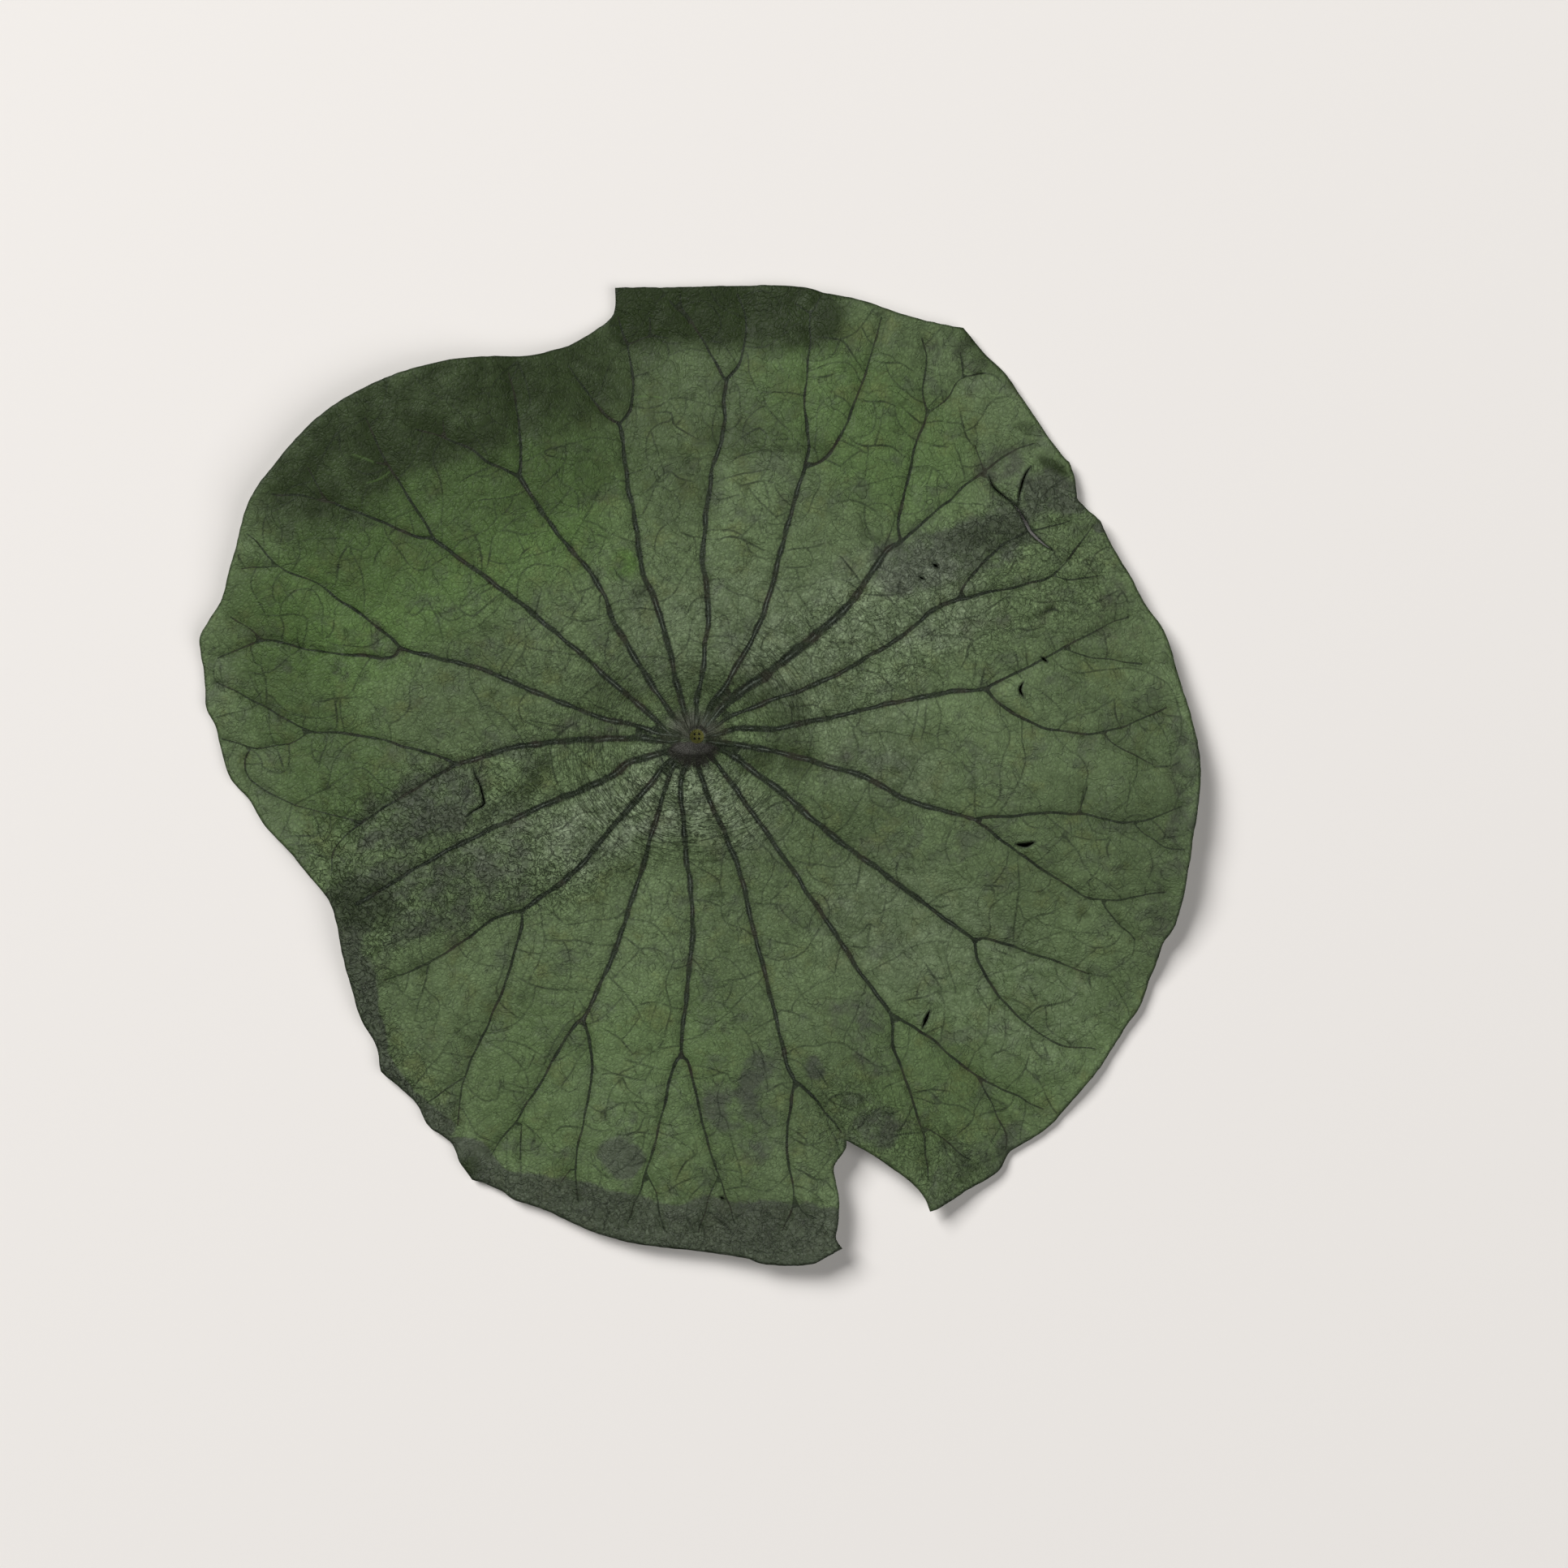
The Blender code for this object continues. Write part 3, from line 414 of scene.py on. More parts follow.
# Cracks through the blade: the points along each and its greatest width.
SPLITS_MM = (
    (((72.6, 65.6), (74, 62.4), (77, 59.8), (78.6, 58.6)), 0.3),
    (((78.2, 58.8), (79.4, 57.6), (81.4, 54.4), (83, 51.4), (85.6, 48.8), (88.4, 46.8)), 0.75),
    (((83.2, 67.6), (81.6, 65.2), (80.4, 61.2), (80, 58.6)), 0.5),
    (((-54.2, -6.8), (-53.6, -9), (-52.6, -10.8), (-51.6, -14.6), (-51.4, -15.6),
      (-52.2, -16.4), (-54, -17.4), (-56, -18.8)), 0.36),
    (((81, 14.2), (80.2, 12.4), (81, 10.6)), 0.6),
    (((79, -25.6), (81.6, -25.8), (83.8, -25)), 1.0),
    (((58.2, -66.6), (57, -69.4), (56.3, -71)), 0.7),
    (((58.8, 43.4), (60.2, 42.4)), 0.7),
    (((55.4, 40.2), (56.8, 39.4)), 0.5),
    (((85.4, 20.4), (87, 19.2)), 0.6),
    (((6.4, -112.4), (7.6, -113)), 0.5),
)

# Folds pressed into the blade: the points along each, its height and its half-width.
CREASES_MM = (
    (((-31, 73.4), (-12, 73), (3, 72.6), (20, 73), (37, 73.6)), 0.45, 1.6),
    (((-15, -22.2), (-2, -23.4), (8, -22.6), (17, -23.2)), 0.35, 0.8),
    (((-27, 8.4), (-36, -2), (-42, -9), (-49.8, -18.8)), -0.5, 1.6),
)

# Soft-edged areas of colour: the points along each, its radius and its strength.
VIOLET_AREAS_MM = (
    (((-82, -40), (-88, -43)), 7, 1.2),
    (((-86.4, -49.6), (-82.6, -58.6), (-81, -64)), 3.4, 1.6),
    (((-81, -64), (-76, -78), (-70, -87.6), (-62, -96.6)), 2.4, 1.6),
    (((-58, -103.4), (-50, -109.6), (-32, -117.6)), 5, 3),
    (((-32, -117.4), (-3, -122.6), (36, -123.6)), 7.2, 3),
    (((-17.6, -102),), 5, 1.4),
    (((-17, -94),), 3, 0.7),
    (((76, 56), (84, 61), (92, 60)), 5, 0.9),
    (((88.6, 65), (92, 61), (91, 58)), 4.5, 0.8),
    (((100, 52.4),), 2, 1.2),
    (((50, 43), (64, 47), (77, 51)), 7, 1.05),
    (((76, 68), (84, 53)), 5, 0.6),
    (((66, 12),), 4, 0.5),
    (((-78, 17), (-74, 28)), 5, 0.4),
    (((16.4, -81), (15, -86)), 4.4, 0.95),
    (((8, -90), (17, -98)), 6.5, 0.8),
    (((29, -81),), 3.4, 0.9),
    (((44, -90), (46, -97)), 5, 0.8),
    (((40, -66), (45, -76)), 6.5, 0.6),
    (((117, -28), (115, -46)), 6, 0.6),
    (((122, 2), (120.5, -24)), 4.5, 0.7),
    (((60, -112), (70, -107), (80, -99)), 5, 0.8),
    (((61, 93), (70, 95)), 6, 0.6),
    (((72, 30), (92, 36), (104, 30)), 9, 0.4),
    (((104, 38), (112, 32)), 4, 0.55),
    (((-60, -14), (-76, -21)), 9, 0.85),
    (((-46, -34), (-60, -36), (-78, -42)), 13, 0.72),
    (((-84, -40), (-77, -38)), 6, 1.0),
    (((-26, -24), (-40, -20)), 8, 0.5),
    (((-14, 3), (-30, 2), (-42, -2)), 4, 0.5),
    (((-27, 60.8),), 2.5, 0.5),
    (((-31, -62.6),), 4, 0.45),
    (((-101, 19.4),), 3.5, 0.6),
    (((-90, 20), (-86, 17)), 3, 0.5),
    (((-93, 10.4),), 3, 0.6),
    (((-77, 6.4),), 3, 0.6),
    (((38, -3), (34, -8)), 4, 0.5),
)
BRIGHT_AREAS_MM = (
    (((-10, -95), (-35, -85), (-10, -80)), 22, 0.3),
    (((30, 88), (52, 70)), 16, 0.6),
    (((-40, 60), (-75, 45), (-90, 30)), 22, 0.85),
    (((-96, 8), (-88, -8)), 14, 0.5),
    (((-17.4, 42.4),), 4, 1.2),
    (((85, -70), (60, -85)), 20, 0.3),
)
CRUMPLED_AREAS_MM = (
    (((0, 0),), 26, 0.5),
    (((6, -17), (-14, -19), (-26, -24), (-40, -28)), 13, 0.85),
    (((-30, -26), (-60, -34), (-84, -40)), 16, 0.75),
    (((-28, -8), (-60, -16), (-84, -26)), 13, 0.7),
    (((-20, 6), (-40, 2)), 7, 0.5),
    (((22, 20), (40, 28)), 12, 0.6),
    (((30, 14), (60, 34), (90, 40)), 16, 0.55),
    (((60, 44), (88, 58)), 9, 0.6),
    (((-14, 14), (-30, 18)), 9, 0.5),
    (((38, -92), (50, -100), (62, -108)), 12, 0.5),
    (((-86, -46), (-82, -62), (-70, -88)), 4, 0.8),
    (((-50, -110), (0, -122), (30, -122)), 7, 0.5),
    (((-84, -42), (-80, -66), (-64, -94)), 7, 0.5),
    (((0, 0),), 60, 0.3),
)
# Deep green areas, mostly the blade's own darker colour; the rows marked below are painted shadow
# and painted shade instead.
DEEP_GREEN_AND_SHADE_AREAS_MM = (
    (((-15, 105), (10, 106), (30, 105)), 9, 1.3),
    # Painted shade along the fold pressed in across the top.
    (((3, 75), (28, 74)), 4.5, 0.6),
    # Painted shadow of a hand over the upper left margin.
    (((-30, 92), (-50, 84), (-72, 78), (-92, 64)), 16, 1.05),
    (((-18, 104), (-20, 84), (-28, 70)), 9, 0.5),
    (((-50, 64), (-84, 52)), 16, 0.4),
    (((-106, 34), (-100, 10), (-86, -12)), 11, 0.35),
    (((8, 92), (20, 76), (4, 76)), 8, 0.35),
    (((79, 96), (70, 101)), 7, 0.8),
    # Painted shadow along the edge of the torn flap beside the step in the margin.
    (((85.4, 68.4), (88.6, 68.8), (91.4, 68.2)), 1.5, 1.0),
    (((83.2, 30), (85.6, 31.8), (88.2, 33.8)), 0.9, 0.9),
    (((-86, -36), (-84, -41.6), (-77, -41)), 5, 0.75),
    (((-45, -76),), 15, 0.16),
    (((-56, -106.6),), 3, 0.8),
    (((66, 47), (78, 52)), 4, 0.35),
    # Painted shade along the sunken fold beside the crack on the left.
    (((-37, -5.4), (-46, -14)), 1.6, 0.75),
    (((-39, -9.4), (-47, -17), (-53, -22)), 1.3, 0.7),
    # More painted shadow of a hand, over the upper left and the top middle.
    (((-78, 70), (-55, 63), (-30, 66)), 10, 0.55),
    (((-12, 94), (-12, 66), (-2, 60)), 9, 0.45),
    (((-4, 92), (18, 86)), 8, 0.3),
    (((112, 5), (114, -20), (110, -40)), 8, 0.3),
    (((65, -113), (76, -104)), 4, 0.5),
    (((14, 12), (22, 10), (23, -4), (13, -5)), 5, 0.7),
    (((-20, 12), (-8, 14), (2, 13)), 6, 0.4),
)
# Painted sheen: pale patches that stand in for light glancing off the waxy skin beside the hub and
# to its right.
PAINTED_SHEEN_AREAS_MM = (
    (((2, -15), (-14, -17), (-28, -24)), 9, 1.0),
    (((-30, -26), (-46, -24)), 9, 0.5),
    (((-8, -9), (12, -20)), 8, 0.7),
    (((22, 22), (40, 32), (60, 34)), 12, 0.7),
    (((30, 8), (48, 12)), 9, 0.4),
    (((40, -4), (54, -8)), 8, 0.35),
    (((45, -42), (65, -55), (85, -65)), 15, 0.4),
    (((-20, -90), (-8, -106)), 12, 0.12),
    (((-8, 26), (16, 30)), 12, 0.4),
)


def linear(colour):
    """The sRGB hex colour as linear red, green and blue."""
    parts = [int(colour[place:place + 2], 16) / 255 for place in (1, 3, 5)]
    return tuple(
        part / 12.92 if part <= 0.04045 else ((part + 0.055) / 1.055) ** 2.4 for part in parts
    )


def length_property(name, description, default_mm, least_mm=0):
    """A length that the user may change."""
    return FloatProperty(
        name=name, description=description, default=default_mm * MM, min=least_mm * MM,
        unit="LENGTH", subtype="DISTANCE",
    )


def colour_property(name, description, default):
    """A colour that the user may change, its default given in sRGB hex."""
    return FloatVectorProperty(
        name=name, description=description, subtype="COLOR", default=linear(default)
    )


class LotusShape(bpy.types.PropertyGroup):
    """Sizes of the blade and its veins."""

    thickness: length_property(
        "Blade thickness", "Thickness of the blade between its veins", 0.45, 0.1
    )
    nibble: length_property("Ragged margin", "How far the dried margin is nibbled inwards", 0.3)
    vein_at_hub: length_property(
        "Vein at the hub", "Half-width of a main vein beside the hub", 0.62, 0.1
    )
    vein_at_tip: length_property(
        "Vein at its end", "Half-width of a branch where it ends", 0.16, 0.05
    )
    vein_wobble: length_property(
        "Vein wobble", "How far the veins stray from their smooth routes", 0.5
    )
    groove_depth: length_property(
        "Groove depth", "How far the edges of a main vein are sunk", 0.45
    )
    veinlet_spacing: length_property(
        "Veinlet spacing", "Mean distance between the veinlets on a vein", 9, 2
    )
    point_spacing: length_property(
        "Point spacing", "Distance between the points of the mesh", 1.15, 0.8
    )
    growth_seed: IntProperty(
        name="Growth seed", description="Chooses one of the possible nets of veinlets", default=7,
        min=1,
    )


class LotusColours(bpy.types.PropertyGroup):
    """Colours of the dyed leaf."""

    green: colour_property("Green", "The dyed blade", "#5B6C49")
    bright_green: colour_property("Bright green", "Where the dye took most", "#4D6634")
    # Deep green is the blade's own darker colour, and also painted shadow and painted shade in the
    # deep areas.
    deep_green: colour_property("Deep green", "Where the blade is thick or doubled", "#212D11")
    # Painted sheen: a pale colour that stands in for light glancing off the waxy skin.
    painted_sheen: colour_property("Bloom", "Pale waxy bloom beside the hub", "#858F7A")
    violet: colour_property("Violet", "Bruised areas and the dry margin", "#40443C")
    vein_edge: colour_property("Vein edge", "The dark skin of a vein", "#141C0F")
    # Vein core: the vein's own paler middle, with painted highlight along its raised middle.
    vein_core: colour_property("Vein core", "The pale middle line of a main vein", "#5E665B")
    vein_brown: colour_property("Vein brown", "Veins where they dried out most", "#2C231B")
    olive: colour_property("Olive", "Yellower patches of the blade", "#545C34")
    # Pleats: their own warm grey, which the collar paints lighter on the crests and darker between,
    # as light and shade.
    pleats: colour_property(
        "Pleats", "The narrow pleats round the upper side of the hub", "#5A5B52"
    )
    hub_skin: colour_property(
        "Hub skin", "The smooth grey skin below the disc of the hub", "#4B4A45"
    )
    # Hub shade is the hub's darker skin with painted shade over its lower side, and painted shadow
    # under the disc's rim.
    hub_shade: colour_property("Hub shade", "The dark side of the hub", "#272620")
    disc: colour_property("Hub disc", "The small disc in the middle of the hub", "#5A5A26")
    underside: colour_property("Underside", "The paler lower face", "#6A7558")


class LotusStage(bpy.types.PropertyGroup):
    """The studio and the camera."""

    floor_colour: colour_property("Floor", "Colour of the table", "#DEDAD6")
    key_power: FloatProperty(
        name="Key light", description="Power of the large soft light", default=275,
        min=0, unit="POWER",
    )
    fill_power: FloatProperty(
        name="Fill light", description="Power of the weaker light opposite", default=105,
        min=0, unit="POWER",
    )
    frame_width: length_property(
        "Frame width", "Width of the table that the camera sees", 386.4, 100
    )


def from_hub(pair_mm):
    """A point of the lists above, in metres from the middle of the leaf."""
    return Vector(pair_mm) * MM - MIDDLE


def curve_through(points, spacing):
    """Points about one spacing apart on a smooth curve through the given ones, ends kept."""
    padded = [2 * points[0] - points[1], *points, 2 * points[-1] - points[-2]]
    fine = [points[0]]
    for before, start, end, after in zip(padded, padded[1:], padded[2:], padded[3:]):
        for step in range(1, CURVE_STEPS + 1):
            t = step / CURVE_STEPS
            fine.append(0.5 * (
                2 * start
                + (end - before) * t
                + (2 * before - 5 * start + 4 * end - after) * t**2
                + (3 * start - before - 3 * end + after) * t**3
            ))
    lengths = [0.0]
    for start, end in zip(fine, fine[1:]):
        lengths.append(lengths[-1] + (end - start).length)
    count = max(1, round(lengths[-1] / spacing))
    even = [points[0]]
    place = 0
    for index in range(1, count):
        wanted = lengths[-1] * index / count
        while lengths[place + 1] < wanted:
            place += 1
        share = (wanted - lengths[place]) / (lengths[place + 1] - lengths[place])
        even.append(fine[place].lerp(fine[place + 1], share))
    even.append(points[-1])
    return even


def line_of(route_mm, spacing):
    """A smooth curve through points of the lists above."""
    return curve_through([from_hub(pair) for pair in route_mm], spacing)


def side_line(line, offsets):
    """The line moved sideways, each point by its own offset."""
    moved = []
    for index, (point, offset) in enumerate(zip(line, offsets)):
        along = line[min(index + 1, len(line) - 1)] - line[max(index - 1, 0)]
        along.normalize()
        moved.append(point + offset * Vector((-along.y, along.x)))
    return moved


def smooth_step(value):
    """Zero below 0, one above 1 and smooth between."""
    value = np.clip(value, 0, 1)
    return value * value * (3 - 2 * value)


class Tracks:
    """Lines filled in with points close together, to find the nearest one and its half-width."""

    GAP = 0.25 * MM

    def __init__(self, lines):
        points = []
        self.half_widths = []
        for line, half_widths in lines:
            for place in range(len(line) - 1):
                start, end = line[place], line[place + 1]
                count = max(1, math.ceil((end - start).length / self.GAP))
                for step in range(count):
                    share = step / count
                    points.append(start.lerp(end, share))
                    wider = half_widths[place + 1] - half_widths[place]
                    self.half_widths.append(half_widths[place] + share * wider)
            points.append(line[-1])
            self.half_widths.append(half_widths[-1])
        self.tree = KDTree(len(points))
        for index, point in enumerate(points):
            self.tree.insert(point.to_3d(), index)
        self.tree.balance()

    def distance(self, point):
        """How far the flat point is from the nearest line."""
        return self.tree.find(point.to_3d())[2]

    def closest(self, point):
        """The point of a line that is nearest to the flat point."""
        return self.tree.find(point.to_3d())[0].to_2d()

    def nearest(self, flat):
        """Distance to the nearest line, and its half-width, for each row of flat points."""
        found = [self.tree.find((x, y, 0)) for x, y in flat]
        distances = np.array([row[2] for row in found])
        half_widths = np.array([self.half_widths[row[1]] for row in found])
        return distances, half_widths


class Veinlets:
    """The net between the veins. Each veinlet grows from a line until it meets another."""

    STRIDE = 0.9 * MM
    MEETING = 0.9 * MM
    CLEAR_OF_ROOT = 2.6 * MM
    FEWEST_POINTS = 3
    MOST_POINTS = 60
    WANDER = 0.09
    BEND_KEPT = 0.75
    FIRST_GAP = (0.3, 1)
    NEXT_GAP = (0.7, 1.3)
    MARGIN_STOP = 1.2 * MM
    HUB_CLEARANCE = 15 * MM

    def __init__(self, seed, margin):
        self.random = random.Random(seed)
        self.margin = margin
        self.cells = {}
        self.lines = []

    def cell(self, point):
        return math.floor(point.x / self.MEETING), math.floor(point.y / self.MEETING)

    def claim(self, line, name):
        """Remember where a line runs."""
        for point in line:
            self.cells.setdefault(self.cell(point), []).append((point, name))

    def met(self, point, root, start):
        """The nearest point of a line within reach, leaving out the root beside the start."""
        column, row = self.cell(point)
        nearest = None
        reach = self.MEETING
        for across in (-1, 0, 1):
            for up in (-1, 0, 1):
                for other, name in self.cells.get((column + across, row + up), ()):
                    if name == root and (other - start).length < self.CLEAR_OF_ROOT:
                        continue
                    if (other - point).length < reach:
                        nearest = other
                        reach = (other - point).length
        return nearest

    def grown(self, start, heading, root):
        """One veinlet from its start to the line that it meets, or None if it comes to nothing."""
        line = [start]
        bend = 0
        while len(line) < self.MOST_POINTS:
            bend = self.BEND_KEPT * bend + self.random.gauss(0, self.WANDER)
            heading += bend
            point = line[-1] + self.STRIDE * Vector((math.cos(heading), math.sin(heading)))
            end = self.met(point, root, start)
            if end is not None:
                line.append(end)
                break
            line.append(point)
            if self.margin.distance(point) < self.MARGIN_STOP:
                break
        return line if len(line) > self.FEWEST_POINTS else None

    def sprout(self, roots, spacing, lean, half_width):
        """Grow veinlets from both sides of the named root lines and return those that took."""
        starts = []
        for name, line in roots:
            for side in (-1, 1):
                place = self.random.uniform(*self.FIRST_GAP) * spacing
                while place < (len(line) - 2) * self.STRIDE:
                    index = round(place / self.STRIDE)
                    starts.append((name, line, index, side))
                    place += self.random.uniform(*self.NEXT_GAP) * spacing
        self.random.shuffle(starts)
        took = []
        for name, line, index, side in starts:
            if (line[index] + MIDDLE).length < self.HUB_CLEARANCE:
                continue
            along = line[index + 1] - line[index]
            heading = math.atan2(along.y, along.x) + side * self.random.uniform(*lean)
            veinlet = self.grown(line[index], heading, name)
            if veinlet is None:
                continue
            own_name = len(self.lines)
            self.claim(veinlet, own_name)
            self.lines.append((veinlet, [half_width] * len(veinlet)))
            took.append((own_name, veinlet))
        return took


def margin_loop(shape):
    """The leaf's outline as one closed loop of points, nibbled inwards a little."""
    smooth = []
    for run in MARGIN_RUNS_MM:
        smooth.extend(line_of(run, 0.8 * shape.point_spacing)[:-1])
    loop = []
    for point in smooth:
        broad = noise.noise(Vector((point.x, point.y, 0)) / BROAD_NIBBLES)
        fine = noise.noise(Vector((point.x, point.y, 1)) / FINE_NIBBLES)
        bite = shape.nibble * max(0, 0.5 + 0.6 * broad + 0.5 * fine)
        loop.append(point - bite * point.normalized())
    return loop


def wobbled(line, half_widths, shape):
    """The line pushed about a little, which leaves forks joined, and its width made uneven."""
    pushed = []
    uneven = []
    for point, half in zip(line, half_widths):
        push = noise.noise_vector(point.to_3d() / WOBBLE_SIZE)
        pushed.append(point + shape.vein_wobble * push.to_2d())
        uneven.append(half * (1 + UNEVEN_SHARE * noise.noise(point.to_3d() / UNEVEN_SIZE)))
    return pushed, uneven


def vein_lines(shape):
    """Every trunk, branch and twig with the half-widths of its points."""
    lines = []
    hub = -MIDDLE
    at_fork = BRANCH_START_SHARE * shape.vein_at_hub
    at_end = TRUNK_END_SHARE * shape.vein_at_hub
    for (trunk, *branches), widening in zip(VEINS_MM, VEIN_WIDTHS):
        route = [from_hub(pair) for pair in trunk]
        rim = hub + HUB_RIM * (route[0] - hub).normalized()
        line = curve_through([rim, *route], VEIN_POINT_SPACING)
        at_hub = widening * shape.vein_at_hub
        tapers = [min(1, (point - hub).length / NARROWS_UNTIL) ** 2 for point in line]
        lines.append((line, [at_hub + taper * (at_end - at_hub) for taper in tapers]))
        for branch in branches:
            line = line_of((trunk[-1], *branch), VEIN_POINT_SPACING)
            narrower = (shape.vein_at_tip - at_fork) / (len(line) - 1)
            lines.append((line, [at_fork + narrower * place for place in range(len(line))]))
    for twig in TWIGS_MM:
        line = line_of(twig, VEIN_POINT_SPACING)
        lines.append((line, [shape.vein_at_tip] * len(line)))
    return [wobbled(line, half_widths, shape) for line, half_widths in lines]


def split_outlines():
    """The cracks as closed outlines, pointed at both ends."""
    outlines = []
    for route, width in SPLITS_MM:
        line = line_of(route, SPLIT_POINT_SPACING)
        last = len(line) - 1
        half = [0.5 * width * MM * math.sin(math.pi * place / last) for place in range(last + 1)]
        left = side_line(line, half)
        right = side_line(line, [-offset for offset in half])
        outlines.append([line[0], *left[1:-1], line[-1], *reversed(right[1:-1])])
    return outlines


def inside(outline, points):
    """Which of the rows of flat points are inside the closed outline."""
    odd = np.zeros(len(points), bool)
    x, y = points[:, 0], points[:, 1]
    for start, end in zip(outline, [*outline[1:], outline[0]]):
        if start.y == end.y:
            continue
        crosses = (start.y > y) != (end.y > y)
        odd ^= crosses & (x < start.x + (y - start.y) * (end.x - start.x) / (end.y - start.y))
    return odd


class HubDisc:
    """The knob of the hub and the small sunken disc on it, with its four pinholes."""

    CENTRE = from_hub((0.8, 0.9))
    HOLE_RADIUS = 0.27 * MM
    HOLE_OFFSET = Vector((0.55, 0.55)) * MM
    HOLES = (
        CENTRE + HOLE_OFFSET, CENTRE + HOLE_OFFSET.orthogonal(),
        CENTRE - HOLE_OFFSET, CENTRE - HOLE_OFFSET.orthogonal(),
    )
    HOLE_DEPTH = 0.5 * MM
    KNOB_CENTRE = from_hub((0.2, -0.8))
    KNOB_RADIUS = 5.6 * MM
    KNOB_HEIGHT = 1.8 * MM
    RIM_RADIUS = 2.3 * MM
    RIM_WIDTH = 0.6 * MM
    RIM_HEIGHT = 0.25 * MM
    DISH_RADIUS = 1.5 * MM
    DISH_DEPTH = 0.45 * MM


def sides_of(triangles):
    """The two ends of each triangle's three sides."""
    return np.concatenate([triangles[:, [0, 1]], triangles[:, [1, 2]], triangles[:, [2, 0]]])


class BladePattern:
    """The blade seen from above: its margin, lines and splits, filled in with points."""

    SAME_POINT = 0.001 * MM
    WIDE_ENOUGH = 0.33 * MM
    MARGIN_CLEARANCE = 0.8 * MM
    SPLIT_CLEARANCE = 0.4 * MM
    MIDDLE_CLEARANCE_SHARE = 0.9

    # Points round the hub, in millimetres, and round each pinhole.
    HUB_RINGS_MM = (0.6, 1.1, 1.5, 1.8, 2.2, 2.8, 3.5, 4.3, 5.2, 6.2, 7.2)
    HUB_POINT_SPACING_MM = 0.6
    HOLE_POINTS = 8
    HOLE_CLEARANCE_SHARE = 1.6

    # The grid that fills the panels, in shares of its spacing.
    GRID_SEED = 3
    GRID_SHAKE = 0.2
    GRID_CLEARANCE_SHARE = 0.55
    GRID_BEYOND_LEAF = 8 * MM

    # Half-widths of the veinlets. Their own taper fills a share of them at either end, and an
    # end this near to a vein is carried on to it.
    CLEAREST = 0.26 * MM
    FAINTEST = 0.17 * MM
    PALE = 0.27 * MM
    GROWN = 0.85 * CLEAREST
    TAPER_SHARE = 0.3
    TOUCHING = 0.3 * MM
    NEARLY_TOUCHING = 2.2 * MM
    ON_LINE = 0.05 * MM
    OFF_LINE = 0.15 * MM

    # Grown veinlets: their spacing in shares of the usual one, and how they leave their roots.
    FIRST_SPACING_SHARE = 1.4
    SECOND_SPACING_SHARE = 0.9
    STEEP = (math.radians(50), math.radians(85))
    SQUARE = (math.radians(70), math.radians(110))

    def __init__(self, shape):
        self.points = margin_loop(shape)
        self.edges = []
        self.margin_count = len(self.points)
        loop = [*self.points, self.points[0]]
        self.margin = Tracks([(loop, [0] * len(loop))])
        main_lines = vein_lines(shape)
        self.veins = Tracks(main_lines)
        self.splits = split_outlines()
        self.split_tracks = Tracks(
            [([*line, line[0]], [0] * (len(line) + 1)) for line in self.splits]
        )
        self.grow_net(shape, main_lines)
        self.add_splits()
        self.add_veins(main_lines)
        for line, _ in self.net_lines:
            self.add_line(line, self.off_margin)
        self.add_hub()
        self.fill(shape)

    def off_margin(self, point):
        """Whether the point is clear of the margin and of every split."""
        return (
            self.margin.distance(point) > self.MARGIN_CLEARANCE
            and self.split_tracks.distance(point) > self.SPLIT_CLEARANCE
        )

    def grow_net(self, shape, main_lines):
        """Grow the veinlets, then finer ones between them."""
        net = Veinlets(shape.growth_seed, self.margin)
        roots = []
        for place, (line, _) in enumerate(main_lines):
            net.claim(line, -1 - place)
            roots.append((-1 - place, line))
        for route in PALE_VEINLETS_MM:
            line = line_of(route, net.STRIDE)
            net.claim(line, len(net.lines))
            net.lines.append((line, [self.PALE] * len(line)))
        for route in VEINLETS_MM:
            line = self.joined_to_veins(line_of(route, net.STRIDE))
            name = len(net.lines)
            net.claim(line, name)
            net.lines.append((line, self.tapered(len(line))))
            roots.append((name, line))
        spacing = shape.veinlet_spacing
        first = net.sprout(roots, self.FIRST_SPACING_SHARE * spacing, self.STEEP, self.GROWN)
        net.sprout(first, self.SECOND_SPACING_SHARE * spacing, self.SQUARE, self.FAINTEST)
        self.net_lines = net.lines
        self.net = Tracks(net.lines)

    def tapered(self, count):
        """Half-widths along a clear veinlet, narrow at both of its ends."""
        from_end = np.minimum(np.arange(count), np.arange(count)[::-1])
        share = np.minimum(from_end / (self.TAPER_SHARE * count), 1)
        return list(self.FAINTEST + share * (self.CLEAREST - self.FAINTEST))

    def joined_to_veins(self, line):
        """The line, carried on to the vein that either of its ends nearly touches."""
        for end in (0, -1):
            vein_point = self.veins.closest(line[end])
            if self.TOUCHING < (vein_point - line[end]).length < self.NEARLY_TOUCHING:
                line.insert(len(line) if end else 0, vein_point)
        return line

    def add_line(self, line, keep):
        """Add the stretches of a line whose points may be kept."""
        last = None
        for point in line:
            if not keep(point):
                last = None
                continue
            self.points.append(point)
            if last is not None:
                self.edges.append((last, len(self.points) - 1))
            last = len(self.points) - 1

    def add_splits(self):
        """Add the outline of each crack."""
        for outline in self.splits:
            first = len(self.points)
            self.points.extend(outline)
            count = len(outline)
            self.edges.extend((first + k, first + (k + 1) % count) for k in range(count))

    def add_veins(self, main_lines):
        """Add each vein's middle, and the two edges of the wider ones."""
        for line, _ in main_lines:
            self.add_line(line, self.off_margin)
        for line, half_widths in main_lines:
            for side in (-1, 1):
                edge = side_line(line, [side * half for half in half_widths])
                for place, point in enumerate(edge):
                    if half_widths[place] < self.WIDE_ENOUGH:
                        continue
                    clearance = self.MIDDLE_CLEARANCE_SHARE * half_widths[place]
                    if self.veins.distance(point) > clearance and self.off_margin(point):
                        self.points.append(point)

